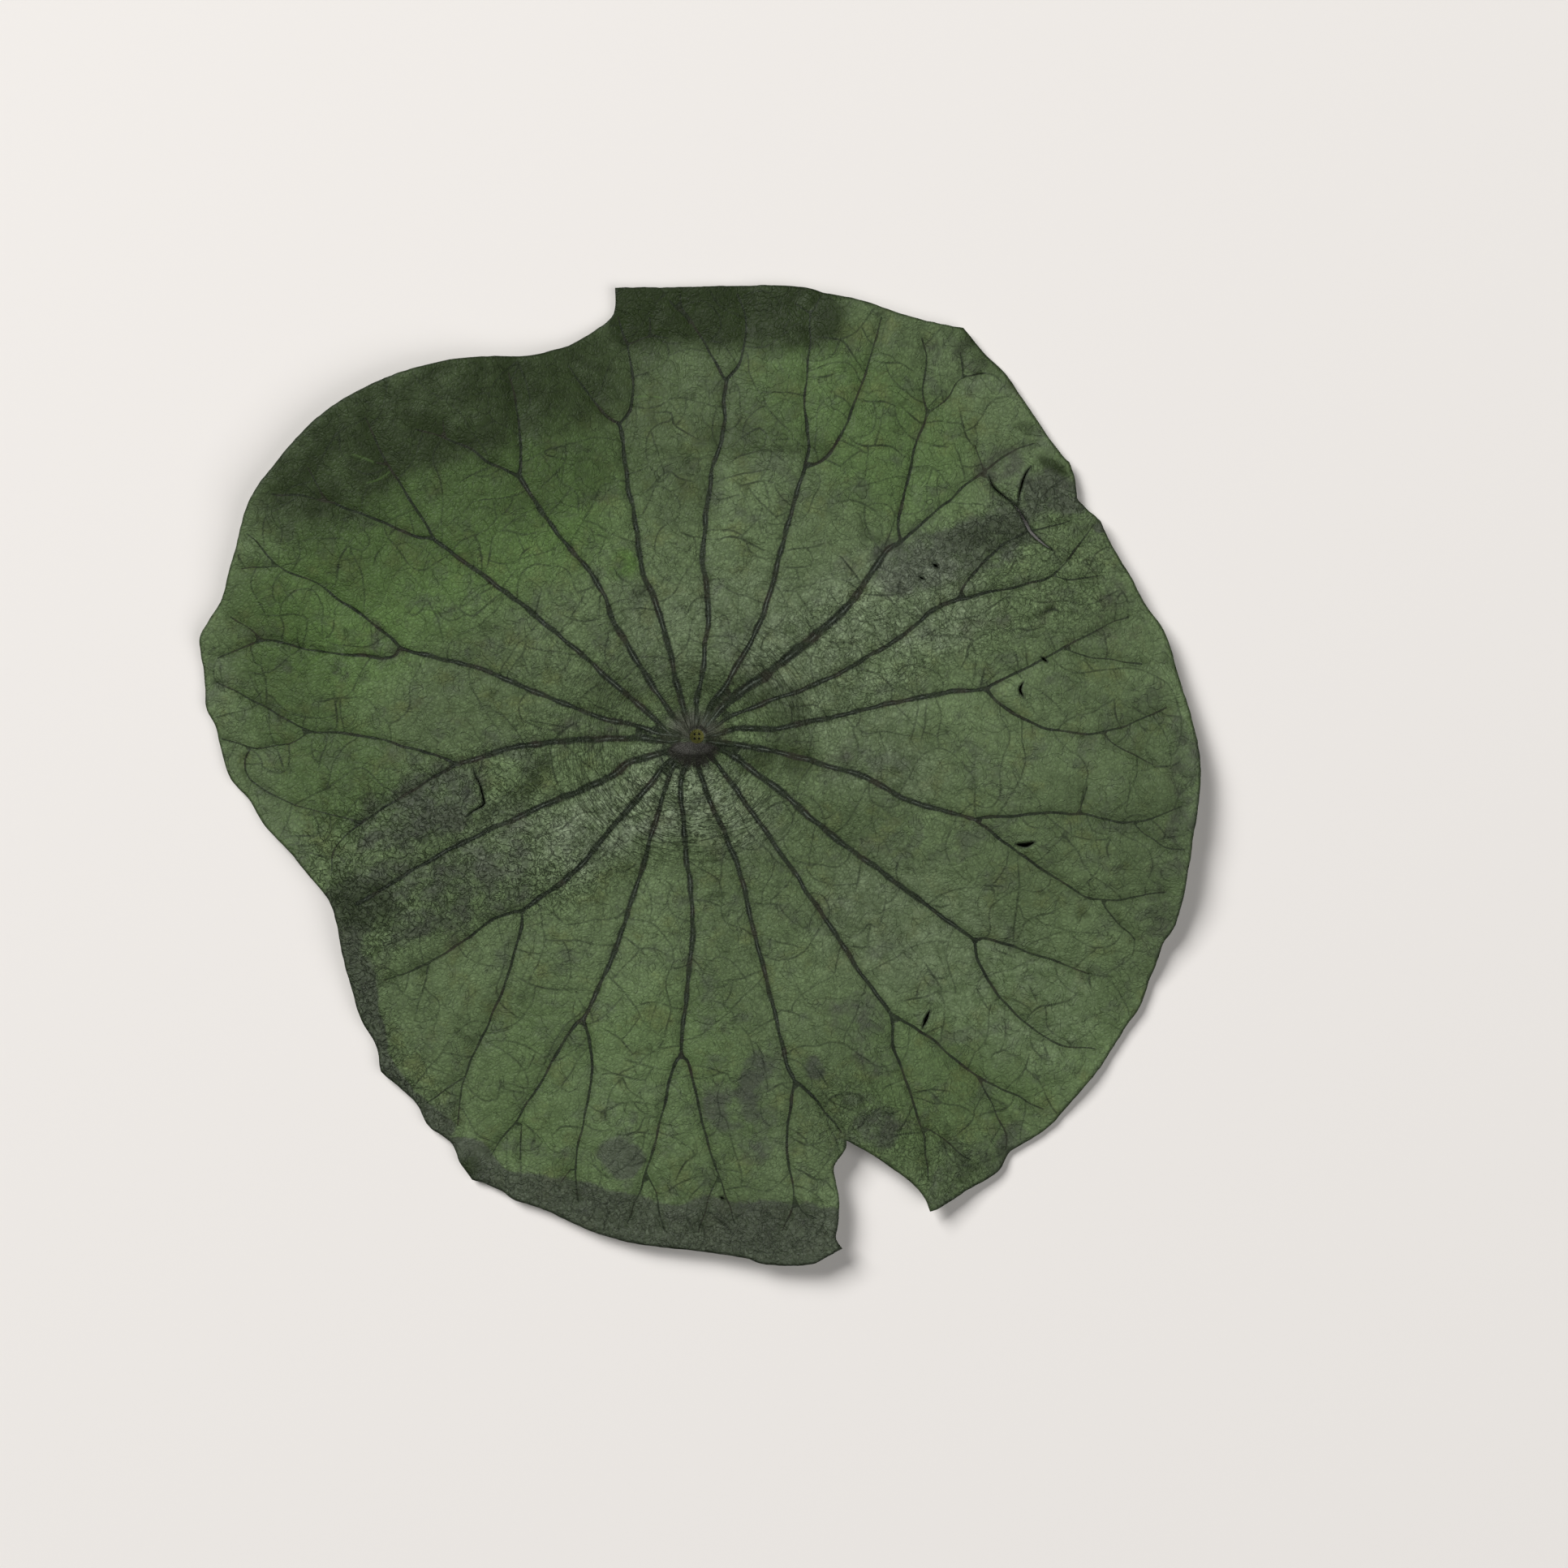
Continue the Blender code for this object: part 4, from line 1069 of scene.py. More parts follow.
    def add_hub(self):
        """Add close rings of points where the hub rises, and the four pinholes of its disc."""
        for hole in HubDisc.HOLES:
            self.points.append(hole)
            self.points.extend(self.ring(hole, HubDisc.HOLE_RADIUS, self.HOLE_POINTS))
        clearance = self.HOLE_CLEARANCE_SHARE * HubDisc.HOLE_RADIUS
        for radius in self.HUB_RINGS_MM:
            count = math.ceil(2 * math.pi * radius / self.HUB_POINT_SPACING_MM)
            for point in self.ring(HubDisc.CENTRE, radius * MM, count):
                if all((point - hole).length > clearance for hole in HubDisc.HOLES):
                    self.points.append(point)

    @staticmethod
    def ring(centre, radius, count):
        """Points evenly spaced on a circle."""
        turns = [2 * math.pi * place / count for place in range(count)]
        return [centre + radius * Vector((math.cos(turn), math.sin(turn))) for turn in turns]

    def fill(self, shape):
        """Fill the panels with a slightly uneven triangular grid of points."""
        shaker = random.Random(self.GRID_SEED)
        most = self.GRID_SHAKE
        taken = KDTree(len(self.points))
        for index, point in enumerate(self.points):
            taken.insert(point.to_3d(), index)
        taken.balance()
        spacing = shape.point_spacing
        row_height = spacing * math.sqrt(3) / 2
        reach = LEAF_RADIUS + self.GRID_BEYOND_LEAF
        rows = math.ceil(reach / row_height)
        columns = math.ceil(reach / spacing)
        for row in range(-rows, rows + 1):
            for column in range(-columns, columns + 1):
                shake = Vector((shaker.uniform(-most, most), shaker.uniform(-most, most)))
                point = Vector(((column + 0.5 * (row % 2)) * spacing, row * row_height))
                point += shake * spacing
                if point.length > reach:
                    continue
                if taken.find(point.to_3d())[2] > self.GRID_CLEARANCE_SHARE * spacing:
                    self.points.append(point)

    def joined_up(self):
        """Flat points and triangles inside the margin."""
        outline = list(reversed(range(self.margin_count)))
        only_inside = 1
        points, _, triangles, *_ = delaunay_2d_cdt(
            self.points, self.edges, [outline], only_inside, self.SAME_POINT
        )
        return np.array(points), np.array(triangles)

    def chord_middles(self, flat, triangles):
        """Middles of the triangle sides that cross from one veinlet straight to another.

        Without a point there, the skin between two close veinlets would count as veinlet.
        """
        away, _ = self.net.nearest(flat)
        on_line = away < self.ON_LINE
        sides = sides_of(triangles)
        sides = np.unique(np.sort(sides, axis=1), axis=0)
        sides = sides[on_line[sides].all(axis=1)]
        middles = flat[sides].mean(axis=1)
        away, _ = self.net.nearest(middles)
        return [Vector(middle) for middle in middles[away > self.OFF_LINE]]

    def triangulated(self):
        """Flat points and triangles of the blade, without what the splits open."""
        self.points.extend(self.chord_middles(*self.joined_up()))
        flat, triangles = self.joined_up()
        centres = flat[triangles].mean(axis=1)
        open_ones = np.zeros(len(triangles), bool)
        for split in self.splits:
            open_ones |= inside(split, centres)
        triangles = triangles[~open_ones]
        used, renumbered = np.unique(triangles, return_inverse=True)
        return flat[used], renumbered.reshape(-1, 3)


def area_strength(areas, flat):
    """How strongly areas with soft, ragged edges cover each row of flat points."""
    ragged = [
        noise.noise_vector((x / EDGE_LOBES, y / EDGE_LOBES, EDGE_SEED))[:2] for x, y in flat
    ]
    flat = flat + EDGE_WANDER * np.array(ragged)
    strength = np.zeros(len(flat))
    for route, radius, most in areas:
        points = [from_hub(pair) for pair in route]
        if len(points) == 1:
            points.append(points[0] + Vector((0.1, 0)) * MM)
        away = np.full(len(flat), np.inf)
        for start, end in zip(points, points[1:]):
            along = np.array(end - start)
            share = np.clip((flat - np.array(start)) @ along / (along @ along), 0, 1)
            nearest = np.array(start) + share[:, None] * along
            away = np.minimum(away, np.hypot(*(flat - nearest).T))
        strength = np.maximum(strength, most * smooth_step(1.5 - away / (radius * MM)))
    return strength


def roughness_of(flat, size, seed):
    """Smooth noise from -1 to 1 at each row of flat points, with features of the given size."""
    return np.array([noise.noise((x / size, y / size, seed)) for x, y in flat])


def lying_height(out):
    """Height of the blade's upper face before veins shape it, from rows of offsets from the hub."""
    reach = np.hypot(*out.T) / LEAF_RADIUS
    angle = np.arctan2(out[:, 1], out[:, 0])
    waves = sum(size * np.sin(count * angle + turn) for count, size, turn in MARGIN_WAVES)
    crown = CROWN_HEIGHT * np.sin(np.pi * np.minimum(reach, 1))
    free = HUB_TOP - REST_LEVEL + crown + (waves - DROOP) * reach**2
    return REST_LEVEL + 0.5 * (free + np.sqrt(free**2 + REST_SOFTNESS**2))


class BladeRelief:
    """Heights of the blade at its flat points, and what its finish depends on there."""

    FLOOR_CLEARANCE = 0.02 * MM
    CEILING = SOLID_BOX[1][2] - 0.1 * MM
    CEILING_SOFTNESS = 0.6 * MM

    # Unevenness of the blade: the height, size and seed of each kind. The crumpling is drawn
    # on a flattened ring round the hub, so that its folds run round it.
    BUCKLES = ((0.16 * MM, 7 * MM, 0.3), (0.4 * MM, 13 * MM, 3.3))
    WRINKLES = (0.10 * MM, 3.1 * MM, 5.7)
    CRUMPLES = (0.3 * MM, 3.2 * MM, 2.2)
    CURLS = (0.7 * MM, 15 * MM, 9.1)
    RING_RADIUS_MM = 16
    CRUMPLE_STRETCH = 2.5
    CALM_RADIUS = 5 * MM
    CALM_WIDTH = 12 * MM
    CURL_REACH = 5 * MM

    # Panels between veinlets swell like a quilt, and the lips of the splits turn up.
    QUILT_HEIGHT = 0.24 * MM
    QUILT_REACH = 1.2 * MM
    LIP_HEIGHT = 0.45 * MM
    LIP_REACH = 1.2 * MM

    # Veins at least this wide have two sunken edges and a raised middle.
    WIDE_VEIN = 0.3 * MM
    NARROW_DEPTH_SHARE = 0.55
    EDGE_SHARE = 0.55
    MIDDLE_SHARE = 0.6
    MIDDLE_LEFT = 0.8

    # Ribs of the underside, at the hub and how much less at the margin.
    RIB_DEPTH = 1.5 * MM
    RIB_DEPTH_LOSS = 1.25 * MM
    RIB_WIDTH = 1.3 * MM
    RIB_WIDTH_LOSS = 0.7 * MM
    VEINLET_RIB_DEPTH = 0.12 * MM
    VEINLET_RIB_WIDTH = 0.4 * MM

    def __init__(self, pattern, flat, shape):
        self.shape = shape
        self.flat = flat
        self.out = flat + np.array(MIDDLE)
        self.radius = np.hypot(*self.out.T)
        self.angle = np.arctan2(self.out[:, 1], self.out[:, 0])
        self.upward = self.out[:, 1] / np.maximum(self.radius, 0.1 * MM)
        self.from_vein, self.vein_half = pattern.veins.nearest(flat)
        self.from_veinlet, self.veinlet_half = pattern.net.nearest(flat)
        self.from_margin, _ = pattern.margin.nearest(flat)
        self.from_split, _ = pattern.split_tracks.nearest(flat)
        self.from_disc = np.hypot(*(flat - np.array(HubDisc.CENTRE)).T)
        self.crumple = area_strength(CRUMPLED_AREAS_MM, flat)
        self.upper = self.upper_heights()
        thickness = self.thickness()
        over = np.maximum(0, self.upper - self.CEILING + self.CEILING_SOFTNESS)
        self.upper -= over - self.CEILING_SOFTNESS * np.tanh(over / self.CEILING_SOFTNESS)
        self.upper = np.maximum(self.upper, thickness + self.FLOOR_CLEARANCE)
        self.lower = self.upper - thickness

    def upper_heights(self):
        """Heights of the upper face."""
        calm = smooth_step((self.radius - self.CALM_RADIUS) / self.CALM_WIDTH)
        pillow = PILLOW_HEIGHT * (1 - np.exp(-self.from_vein / PILLOW_REACH))
        pillow *= np.minimum(1, self.radius / PILLOW_STARTS)
        quilt = self.QUILT_HEIGHT * (1 - np.exp(-self.from_veinlet / self.QUILT_REACH)) * calm
        uneven = sum(
            height * roughness_of(self.flat, size, seed)
            for height, size, seed in (*self.BUCKLES, self.WRINKLES)
        )
        round_hub = self.RING_RADIUS_MM * MM * self.angle / self.CRUMPLE_STRETCH
        height, size, seed = self.CRUMPLES
        rough = roughness_of(np.column_stack((self.radius, round_hub)), size, seed)
        uneven += height * self.crumple * rough
        height, size, seed = self.CURLS
        near_margin = np.exp(-self.from_margin / self.CURL_REACH)
        curl = height * roughness_of(self.flat, size, seed) * near_margin
        lips = self.LIP_HEIGHT * np.exp(-self.from_split / self.LIP_REACH)
        return (
            lying_height(self.out) + pillow + quilt + uneven * calm + curl + lips
            + self.creases() - self.grooves() + self.hub_rise()
        )

    def grooves(self):
        """How far the veins are sunk: two sunken edges and, on wide veins, a raised middle."""
        across = self.from_vein / self.vein_half
        wide = smooth_step((self.vein_half - self.WIDE_VEIN) / (0.2 * MM))
        edges = np.exp(-((across - 1) / self.EDGE_SHARE) ** 2)
        middle = np.exp(-(across / self.MIDDLE_SHARE) ** 2) * (1 - self.MIDDLE_LEFT * wide)
        share = self.NARROW_DEPTH_SHARE + (1 - self.NARROW_DEPTH_SHARE) * wide
        begun = smooth_step((self.radius - 3 * MM) / (6 * MM))
        return self.shape.groove_depth * share * np.maximum(edges * wide, middle) * begun

    def creases(self):
        """Height of the folds pressed into the blade."""
        height = np.zeros(len(self.flat))
        for route, rise, half_width in CREASES_MM:
            line = line_of(route, 1 * MM)
            away, _ = Tracks([(line, [0] * len(line))]).nearest(self.flat)
            height += rise * MM * np.exp(-(away / (half_width * MM)) ** 2)
        return height

    def hub_rise(self):
        """Height of the knob in the middle, with its sunken disc and pinholes."""
        away = np.hypot(*(self.flat - np.array(HubDisc.KNOB_CENTRE)).T)
        knob = HubDisc.KNOB_HEIGHT * smooth_step(1.25 - away / HubDisc.KNOB_RADIUS)
        from_rim = (self.from_disc - HubDisc.RIM_RADIUS) / HubDisc.RIM_WIDTH
        rim = HubDisc.RIM_HEIGHT * np.exp(-from_rim ** 2)
        dish = HubDisc.DISH_DEPTH * smooth_step(1.5 - self.from_disc / HubDisc.DISH_RADIUS)
        height = knob + rim - dish
        for hole in HubDisc.HOLES:
            away = np.hypot(*(self.flat - np.array(hole)).T)
            height -= HubDisc.HOLE_DEPTH * smooth_step(1.2 - away / HubDisc.HOLE_RADIUS)
        return height

    def hub_skin(self):
        """One on the smooth grey skin below the disc, an oval of 4.6 mm by 1.6 mm radius."""
        away = (self.flat - np.array(from_hub((-0.3, -1.8)))) / (np.array((4.6, 1.6)) * MM)
        return smooth_step(2.2 - 1.7 * np.hypot(*away.T))

    def hub_shade(self):
        """How dark the hub is: a wide arc of darker skin and painted shade round its lower side,
        and a thin arc of painted shadow under the rim above the disc.
        """
        around = smooth_step(-1.8 * self.upward + 0.1)
        inner = smooth_step((self.radius - 2.2 * MM) / (1.0 * MM))
        outer = smooth_step((9 * MM - self.radius) / (4 * MM))
        above = smooth_step((self.flat[:, 1] - HubDisc.CENTRE.y) / (1.5 * MM))
        arc = np.exp(-((self.from_disc - 2.4 * MM) / (0.5 * MM)) ** 2) * above
        return np.maximum(around * inner * outer, 0.9 * arc)

    def hub_collar(self):
        """One where the skin above the hub is drawn into radial pleats, on the knob's upper side,
        which faces the light.
        """
        ring = smooth_step((9.5 * MM - self.radius) / (5 * MM))
        return ring * smooth_step((self.upward + 0.35) / 0.8)

    def thickness(self):
        """Thickness of the leaf, with round ribs under the veins and the thick hub."""
        share = np.minimum(1, self.radius / LEAF_RADIUS)
        rib_depth = self.RIB_DEPTH - self.RIB_DEPTH_LOSS * share
        rib_width = self.RIB_WIDTH - self.RIB_WIDTH_LOSS * share
        rib = rib_depth * np.sqrt(np.maximum(0, 1 - (self.from_vein / rib_width) ** 2))
        across_veinlet = self.from_veinlet / self.VEINLET_RIB_WIDTH
        veinlet_rib = self.VEINLET_RIB_DEPTH * np.exp(-across_veinlet ** 2)
        hub = (HUB_THICKNESS - self.shape.thickness) * np.maximum(0, 1 - self.radius / HUB_SPREAD)
        return self.shape.thickness + np.maximum(rib, hub) + veinlet_rib

    def finish_values(self):
        """What the finish depends on at each point, by name. Distances are in millimetres."""
        ring = self.RING_RADIUS_MM
        widths = (BladePattern.FAINTEST, BladePattern.CLEAREST, BladePattern.PALE)
        return {
            "across_vein": self.from_vein / self.vein_half,
            "vein_mm": self.from_vein / MM,
            "vein_half_mm": self.vein_half / MM,
            "across_veinlet": self.from_veinlet / self.veinlet_half,
            "veinlet_mark": np.interp(self.veinlet_half, widths, (0.38, 1, -1)),
            "margin_mm": self.from_margin / MM,
            "split_mm": self.from_split / MM,
            "hub_mm": self.radius / MM,
            "disc_mm": self.from_disc / MM,
            "violet": area_strength(VIOLET_AREAS_MM, self.flat),
            "bright": area_strength(BRIGHT_AREAS_MM, self.flat),
            "deep": area_strength(DEEP_GREEN_AND_SHADE_AREAS_MM, self.flat),
            "painted_sheen": area_strength(PAINTED_SHEEN_AREAS_MM, self.flat),
            "crumple": self.crumple,
            "hub_skin": self.hub_skin(),
            "hub_shade": self.hub_shade(),
            "hub_collar": self.hub_collar(),
            "around_hub": np.column_stack(
                (ring * np.cos(self.angle), ring * np.sin(self.angle), self.radius / MM)
            ),
        }


def closed_mesh(name, relief, triangles):
    """The blade's two faces and the wall between them as one closed mesh."""
    count = len(relief.flat)
    upper = np.column_stack((relief.flat, relief.upper))
    lower = np.column_stack((relief.flat, relief.lower))
    ends = sides_of(triangles)
    _, index, uses = np.unique(
        np.sort(ends, axis=1), axis=0, return_inverse=True, return_counts=True
    )
    rim = ends[uses[index.reshape(-1)] == 1]
    walls = [(a, a + count, b + count, b) for a, b in rim.tolist()]
    faces = triangles.tolist() + (triangles[:, ::-1] + count).tolist() + walls
    mesh = bpy.data.meshes.new(name)
    mesh.from_pydata(np.vstack((upper, lower)).tolist(), [], faces)
    finishes = np.zeros(len(faces), np.int32)
    finishes[len(triangles):2 * len(triangles)] = 1
    mesh.polygons.foreach_set("material_index", finishes)
    mesh.shade_smooth()
    for value_name, values in relief.finish_values().items():
        kind = "FLOAT" if values.ndim == 1 else "FLOAT_VECTOR"
        layer = mesh.attributes.new(value_name, kind, "POINT")
        key = "value" if kind == "FLOAT" else "vector"
        layer.data.foreach_set(key, np.concatenate((values, values)).astype(np.float32).ravel())
    return mesh


# Nearly black: painted shade inside the pinholes of the hub.
PINHOLE_SHADE = (0.006, 0.006, 0.005, 1)

# Sockets and settings of the Mix node, and the two ways in which a value rises.
FACTOR = 0
FIRST_NUMBER = 2
SECOND_NUMBER = 3
BELOW = 6
ABOVE = 7
IN_COLOUR = {"data_type": "RGBA", "output": 2}
EVENLY = "LINEAR"
SOFTLY = "SMOOTHSTEP"


def add_node(tree, kind, inputs=None, output=0, **settings):
    """Add a node with its settings, set or link its inputs, and return one of its outputs."""
    made = tree.nodes.new(kind)
    for name, value in settings.items():
        setattr(made, name, value)
    for key, value in (inputs or {}).items():
        if isinstance(value, bpy.types.NodeSocket):
            tree.links.new(value, made.inputs[key])
        else:
            made.inputs[key].default_value = value
    return made.outputs[output] if made.outputs else None


def new_material(name):
    """An empty node material and its tree."""
    material = bpy.data.materials.new(name)
    material.use_nodes = True
    material.node_tree.nodes.clear()
    return material, material.node_tree


def per(size_mm):
    """Scale of a pattern on Object coordinates whose features are this many millimetres."""
    return 1000 / size_mm


def dyes_of(colours):
    """The leaf's colours by name, opaque."""
    return {name: (*getattr(colours, name), 1) for name in LotusColours.__annotations__}


def coated(tree, colour, coats):
    """The colour under coats of others, laid one over another.

    Each coat is its colour and the shares that, multiplied, say how much it covers. A share is a
    socket, a number or a rise. A rise is what it follows, where it starts and ends, its least
    and most, and how it rises between them.
    """
    for coat, *shares in coats:
        cover = None
        for share in shares:
            if isinstance(share, tuple):
                follows, start, end, least, most, rises = share
                share = add_node(tree, "ShaderNodeMapRange", {
                    "Value": follows, "From Min": start, "From Max": end, "To Min": least,
                    "To Max": most,
                }, interpolation_type=rises)
            if cover is not None:
                share = add_node(
                    tree, "ShaderNodeMath", {0: cover, 1: share}, operation="MULTIPLY"
                )
            cover = share
        colour = add_node(tree, "ShaderNodeMix", {
            FACTOR: cover, BELOW: colour, ABOVE: coat,
        }, **IN_COLOUR)
    return colour


def finish_surface(tree, relief, finish):
    """Give a material its relief, from the inputs of a bump, and its finish, from a shader's."""
    normal = add_node(tree, "ShaderNodeBump", relief)
    surface = add_node(tree, "ShaderNodeBsdfPrincipled", {**finish, "Normal": normal})
    add_node(tree, "ShaderNodeOutputMaterial", {"Surface": surface})


def folds_of(tree, place, scale, width, distortion):
    """Thin folds where a noise crosses its middle: zero along the fold, one beside it."""
    height = add_node(tree, "ShaderNodeTexNoise", {
        "Vector": place, "Scale": scale, "Detail": 2, "Roughness": 0.55, "Distortion": distortion,
    })
    height = add_node(tree, "ShaderNodeMath", {0: height, 1: 0.5}, operation="SUBTRACT")
    height = add_node(tree, "ShaderNodeMath", {0: height}, operation="ABSOLUTE")
    return add_node(tree, "ShaderNodeMapRange", {
        "Value": height, "From Max": width,
    }, interpolation_type=SOFTLY)


def add_patterns(tree, skin):
    """Add to the skin's sockets the uneven patterns that its dye and wrinkles follow."""
    place = add_node(tree, "ShaderNodeTexCoord", output="Object")
    around_hub = add_node(
        tree, "ShaderNodeAttribute", output="Vector", attribute_name="around_hub"
    )
    # Near the hub the crinkles and the longer folds run round it, and narrow streaks away from it.
    crinkle_place, fold_place, streak_place = (
        add_node(tree, "ShaderNodeMapping", {"Vector": around_hub, "Scale": squeeze})
        for squeeze in ((0.34, 0.34, 1), (0.35, 0.35, 1), (1, 1, 0.1))
    )

    # Each noise has its place, scale, detail, roughness and distortion. Blots are few and 2 to
    # 4 mm across. Bends push the cells of the finest net out of straight.
    noises = {
        "clouds": (place, per(30), 4, 0.6, 0),
        "patches": (place, per(7), 5, 0.62, 0),
        "uneven": (place, per(3), 3, 0.6, 0),
        "grain": (place, per(0.75), 3, 0.65, 0.5),
        "blots": (place, per(8), 2, 0.5, 0.4),
        "folds": (fold_place, 0.55, 3, 0.55, 0.8),
        "streaks": (streak_place, 0.75, 3, 0.6, 0),
        "bends": (place, per(2), 2, 0.5, 0),
    }
    for name, (vector, scale, detail, roughness, distortion) in noises.items():
        skin[name] = add_node(tree, "ShaderNodeTexNoise", {
            "Vector": vector, "Scale": scale, "Detail": detail, "Roughness": roughness,
            "Distortion": distortion,
        })
    for name, channel in (("olive", "Red"), ("grey", "Green")):
        hues = skin["patches"].node.outputs["Color"]
        skin[name] = add_node(tree, "ShaderNodeSeparateColor", {"Color": hues}, output=channel)

    beyond = add_node(tree, "ShaderNodeMapRange", {
        "Value": skin["hub_mm"], "From Min": 26, "From Max": 42,
    })
    skin["crinkles"] = add_node(tree, "ShaderNodeMix", {
        FACTOR: beyond,
        FIRST_NUMBER: folds_of(tree, crinkle_place, 0.8, 0.05, 0.9),
        SECOND_NUMBER: folds_of(tree, place, per(2.2), 0.05, 0.9),
    })
    # Creases are few and thin.
    skin["creases"] = folds_of(tree, place, per(5), 0.02, 1.0)

    # The finest net has cells of about a millimetre.
    bent = add_node(tree, "ShaderNodeVectorMath", {
        0: skin["bends"].node.outputs["Color"], 1: (0.0016, 0.0016, 0.0), 2: place,
    }, operation="MULTIPLY_ADD")
    skin["cells"] = add_node(tree, "ShaderNodeTexVoronoi", {
        "Vector": bent, "Scale": per(1.05),
    }, output="Distance", feature="DISTANCE_TO_EDGE")
    skin["place"] = place


def dyed_skin(tree, dyes, skin):
    """Colour of the skin between the veins: clouds, patches, bruises, painted sheen, and wrinkles
    with painted shade in their valleys.
    """
    bruise = add_node(tree, "ShaderNodeMath", {
        0: skin["patches"], 1: 2.4, 2: -1.2,
    }, operation="MULTIPLY_ADD")
    bruise = add_node(tree, "ShaderNodeMath", {0: skin["violet"], 1: bruise})
    colour = coated(tree, dyes["green"], (
        (dyes["deep_green"], (skin["clouds"], 0.4, 0.7, 0, 0.45, EVENLY)),
        (dyes["bright_green"], skin["bright"]),
        (dyes["olive"], (skin["olive"], 0.5, 0.72, 0, 0.55, SOFTLY)),
        (dyes["violet"], (skin["grey"], 0.5, 0.72, 0, 0.5, SOFTLY)),
        (dyes["deep_green"], (skin["blots"], 0.64, 0.74, 0, 0.45, SOFTLY)),
        # Bruises are mottled, and the deep areas darken bruises too; some deep areas are painted
        # shadow of a hand and painted shade along folds. Painted sheen lies beside the hub in pale
        # patches.
        (dyes["violet"], (bruise, 0.35, 1.05, 0, 0.8, SOFTLY)),
        (dyes["deep_green"], skin["deep"], (skin["patches"], 0.35, 0.6, 0.7, 1, EVENLY)),
        (dyes["painted_sheen"], skin["painted_sheen"], (skin["uneven"], 0.35, 0.65, 0.15, 0.5, EVENLY)),
    ))

    # How much the painted shade in the valleys of crinkles and creases, and the pits of the grain,
    # show. Crinkles show where the blade is crumpled, and less in its smoother patches.
    shown = {}
    for name, follows, start, end, least, most in (
        ("crinkles", "crumple", 0.2, 0.9, 0.06, 1),
        ("smoother", "grey", 0.38, 0.56, 1, 0.4),
        ("creases", "grey", 0.42, 0.58, 0.05, 0.8),
        ("grain", "crumple", 0, 0.6, 0.34, 0.8),
    ):
        shown[name] = add_node(tree, "ShaderNodeMapRange", {
            "Value": skin[follows], "From Min": start, "From Max": end, "To Min": least,
            "To Max": most,
        })
    shown["crinkles"] = add_node(tree, "ShaderNodeMath", {
        0: shown["crinkles"], 1: shown["smoother"],
    }, operation="MULTIPLY")

    # Each shade has the values of its pattern where it is darkest and palest, and how dark and
    # pale it is there. Crinkles and creases are painted shade in their valleys and a little painted
    # light beside them; grain and unevenness are the skin's own tone.
    for pattern, low, high, dark, pale in (
        ("crinkles", 0, 1, 0.4, 1.12),
        ("creases", 0, 1, 0.5, 1),
        ("grain", 0.3, 0.7, 0.6, 1.4),
        ("uneven", 0.3, 0.7, 0.82, 1.18),
    ):
        shade = add_node(tree, "ShaderNodeMapRange", {
            "Value": skin[pattern], "From Min": low, "From Max": high, "To Min": dark,
            "To Max": pale,
        })
        colour = add_node(tree, "ShaderNodeMix", {
            FACTOR: shown.get(pattern, 1.0), BELOW: colour, ABOVE: shade,
        }, blend_type="MULTIPLY", **IN_COLOUR)
    return colour


def with_veinlets(tree, colour, dyes, skin):
    """Add the finest cells and the net of veinlets, which fades in places."""
    cell_depth = add_node(tree, "ShaderNodeMapRange", {
        "Value": skin["crumple"], "From Max": 0.6, "To Min": 0.28, "To Max": 0.45,
    })
    veinlet = (
        (skin["across_veinlet"], 1.6, 0.4, 0, 1, SOFTLY),
        (skin["patches"], 0.35, 0.62, 0.36, 0.78, EVENLY),
        skin["veinlet_mark"],
    )
    # The mark of a pale veinlet is below zero.
    return coated(tree, colour, (
        (dyes["deep_green"], (skin["cells"], 0.22, 0, 0, cell_depth, EVENLY)),
        (dyes["vein_edge"], *veinlet),
        (dyes["bright_green"], *veinlet, -0.55),
    ))


def with_collar(tree, colour, dyes, skin):
    """Add the radial pleats above the hub: warm grey, with painted highlights on their crests and
    painted shade between.
    """
    shade = add_node(tree, "ShaderNodeMapRange", {
        "Value": skin["streaks"], "From Min": 0.4, "From Max": 0.62, "To Min": 0.25,
        "To Max": 1.7,
    })
    pleats = add_node(tree, "ShaderNodeMix", {
        FACTOR: 1.0, BELOW: dyes["pleats"], ABOVE: shade,
    }, blend_type="MULTIPLY", **IN_COLOUR)
    return coated(tree, colour, ((pleats, skin["hub_collar"], 0.85),))


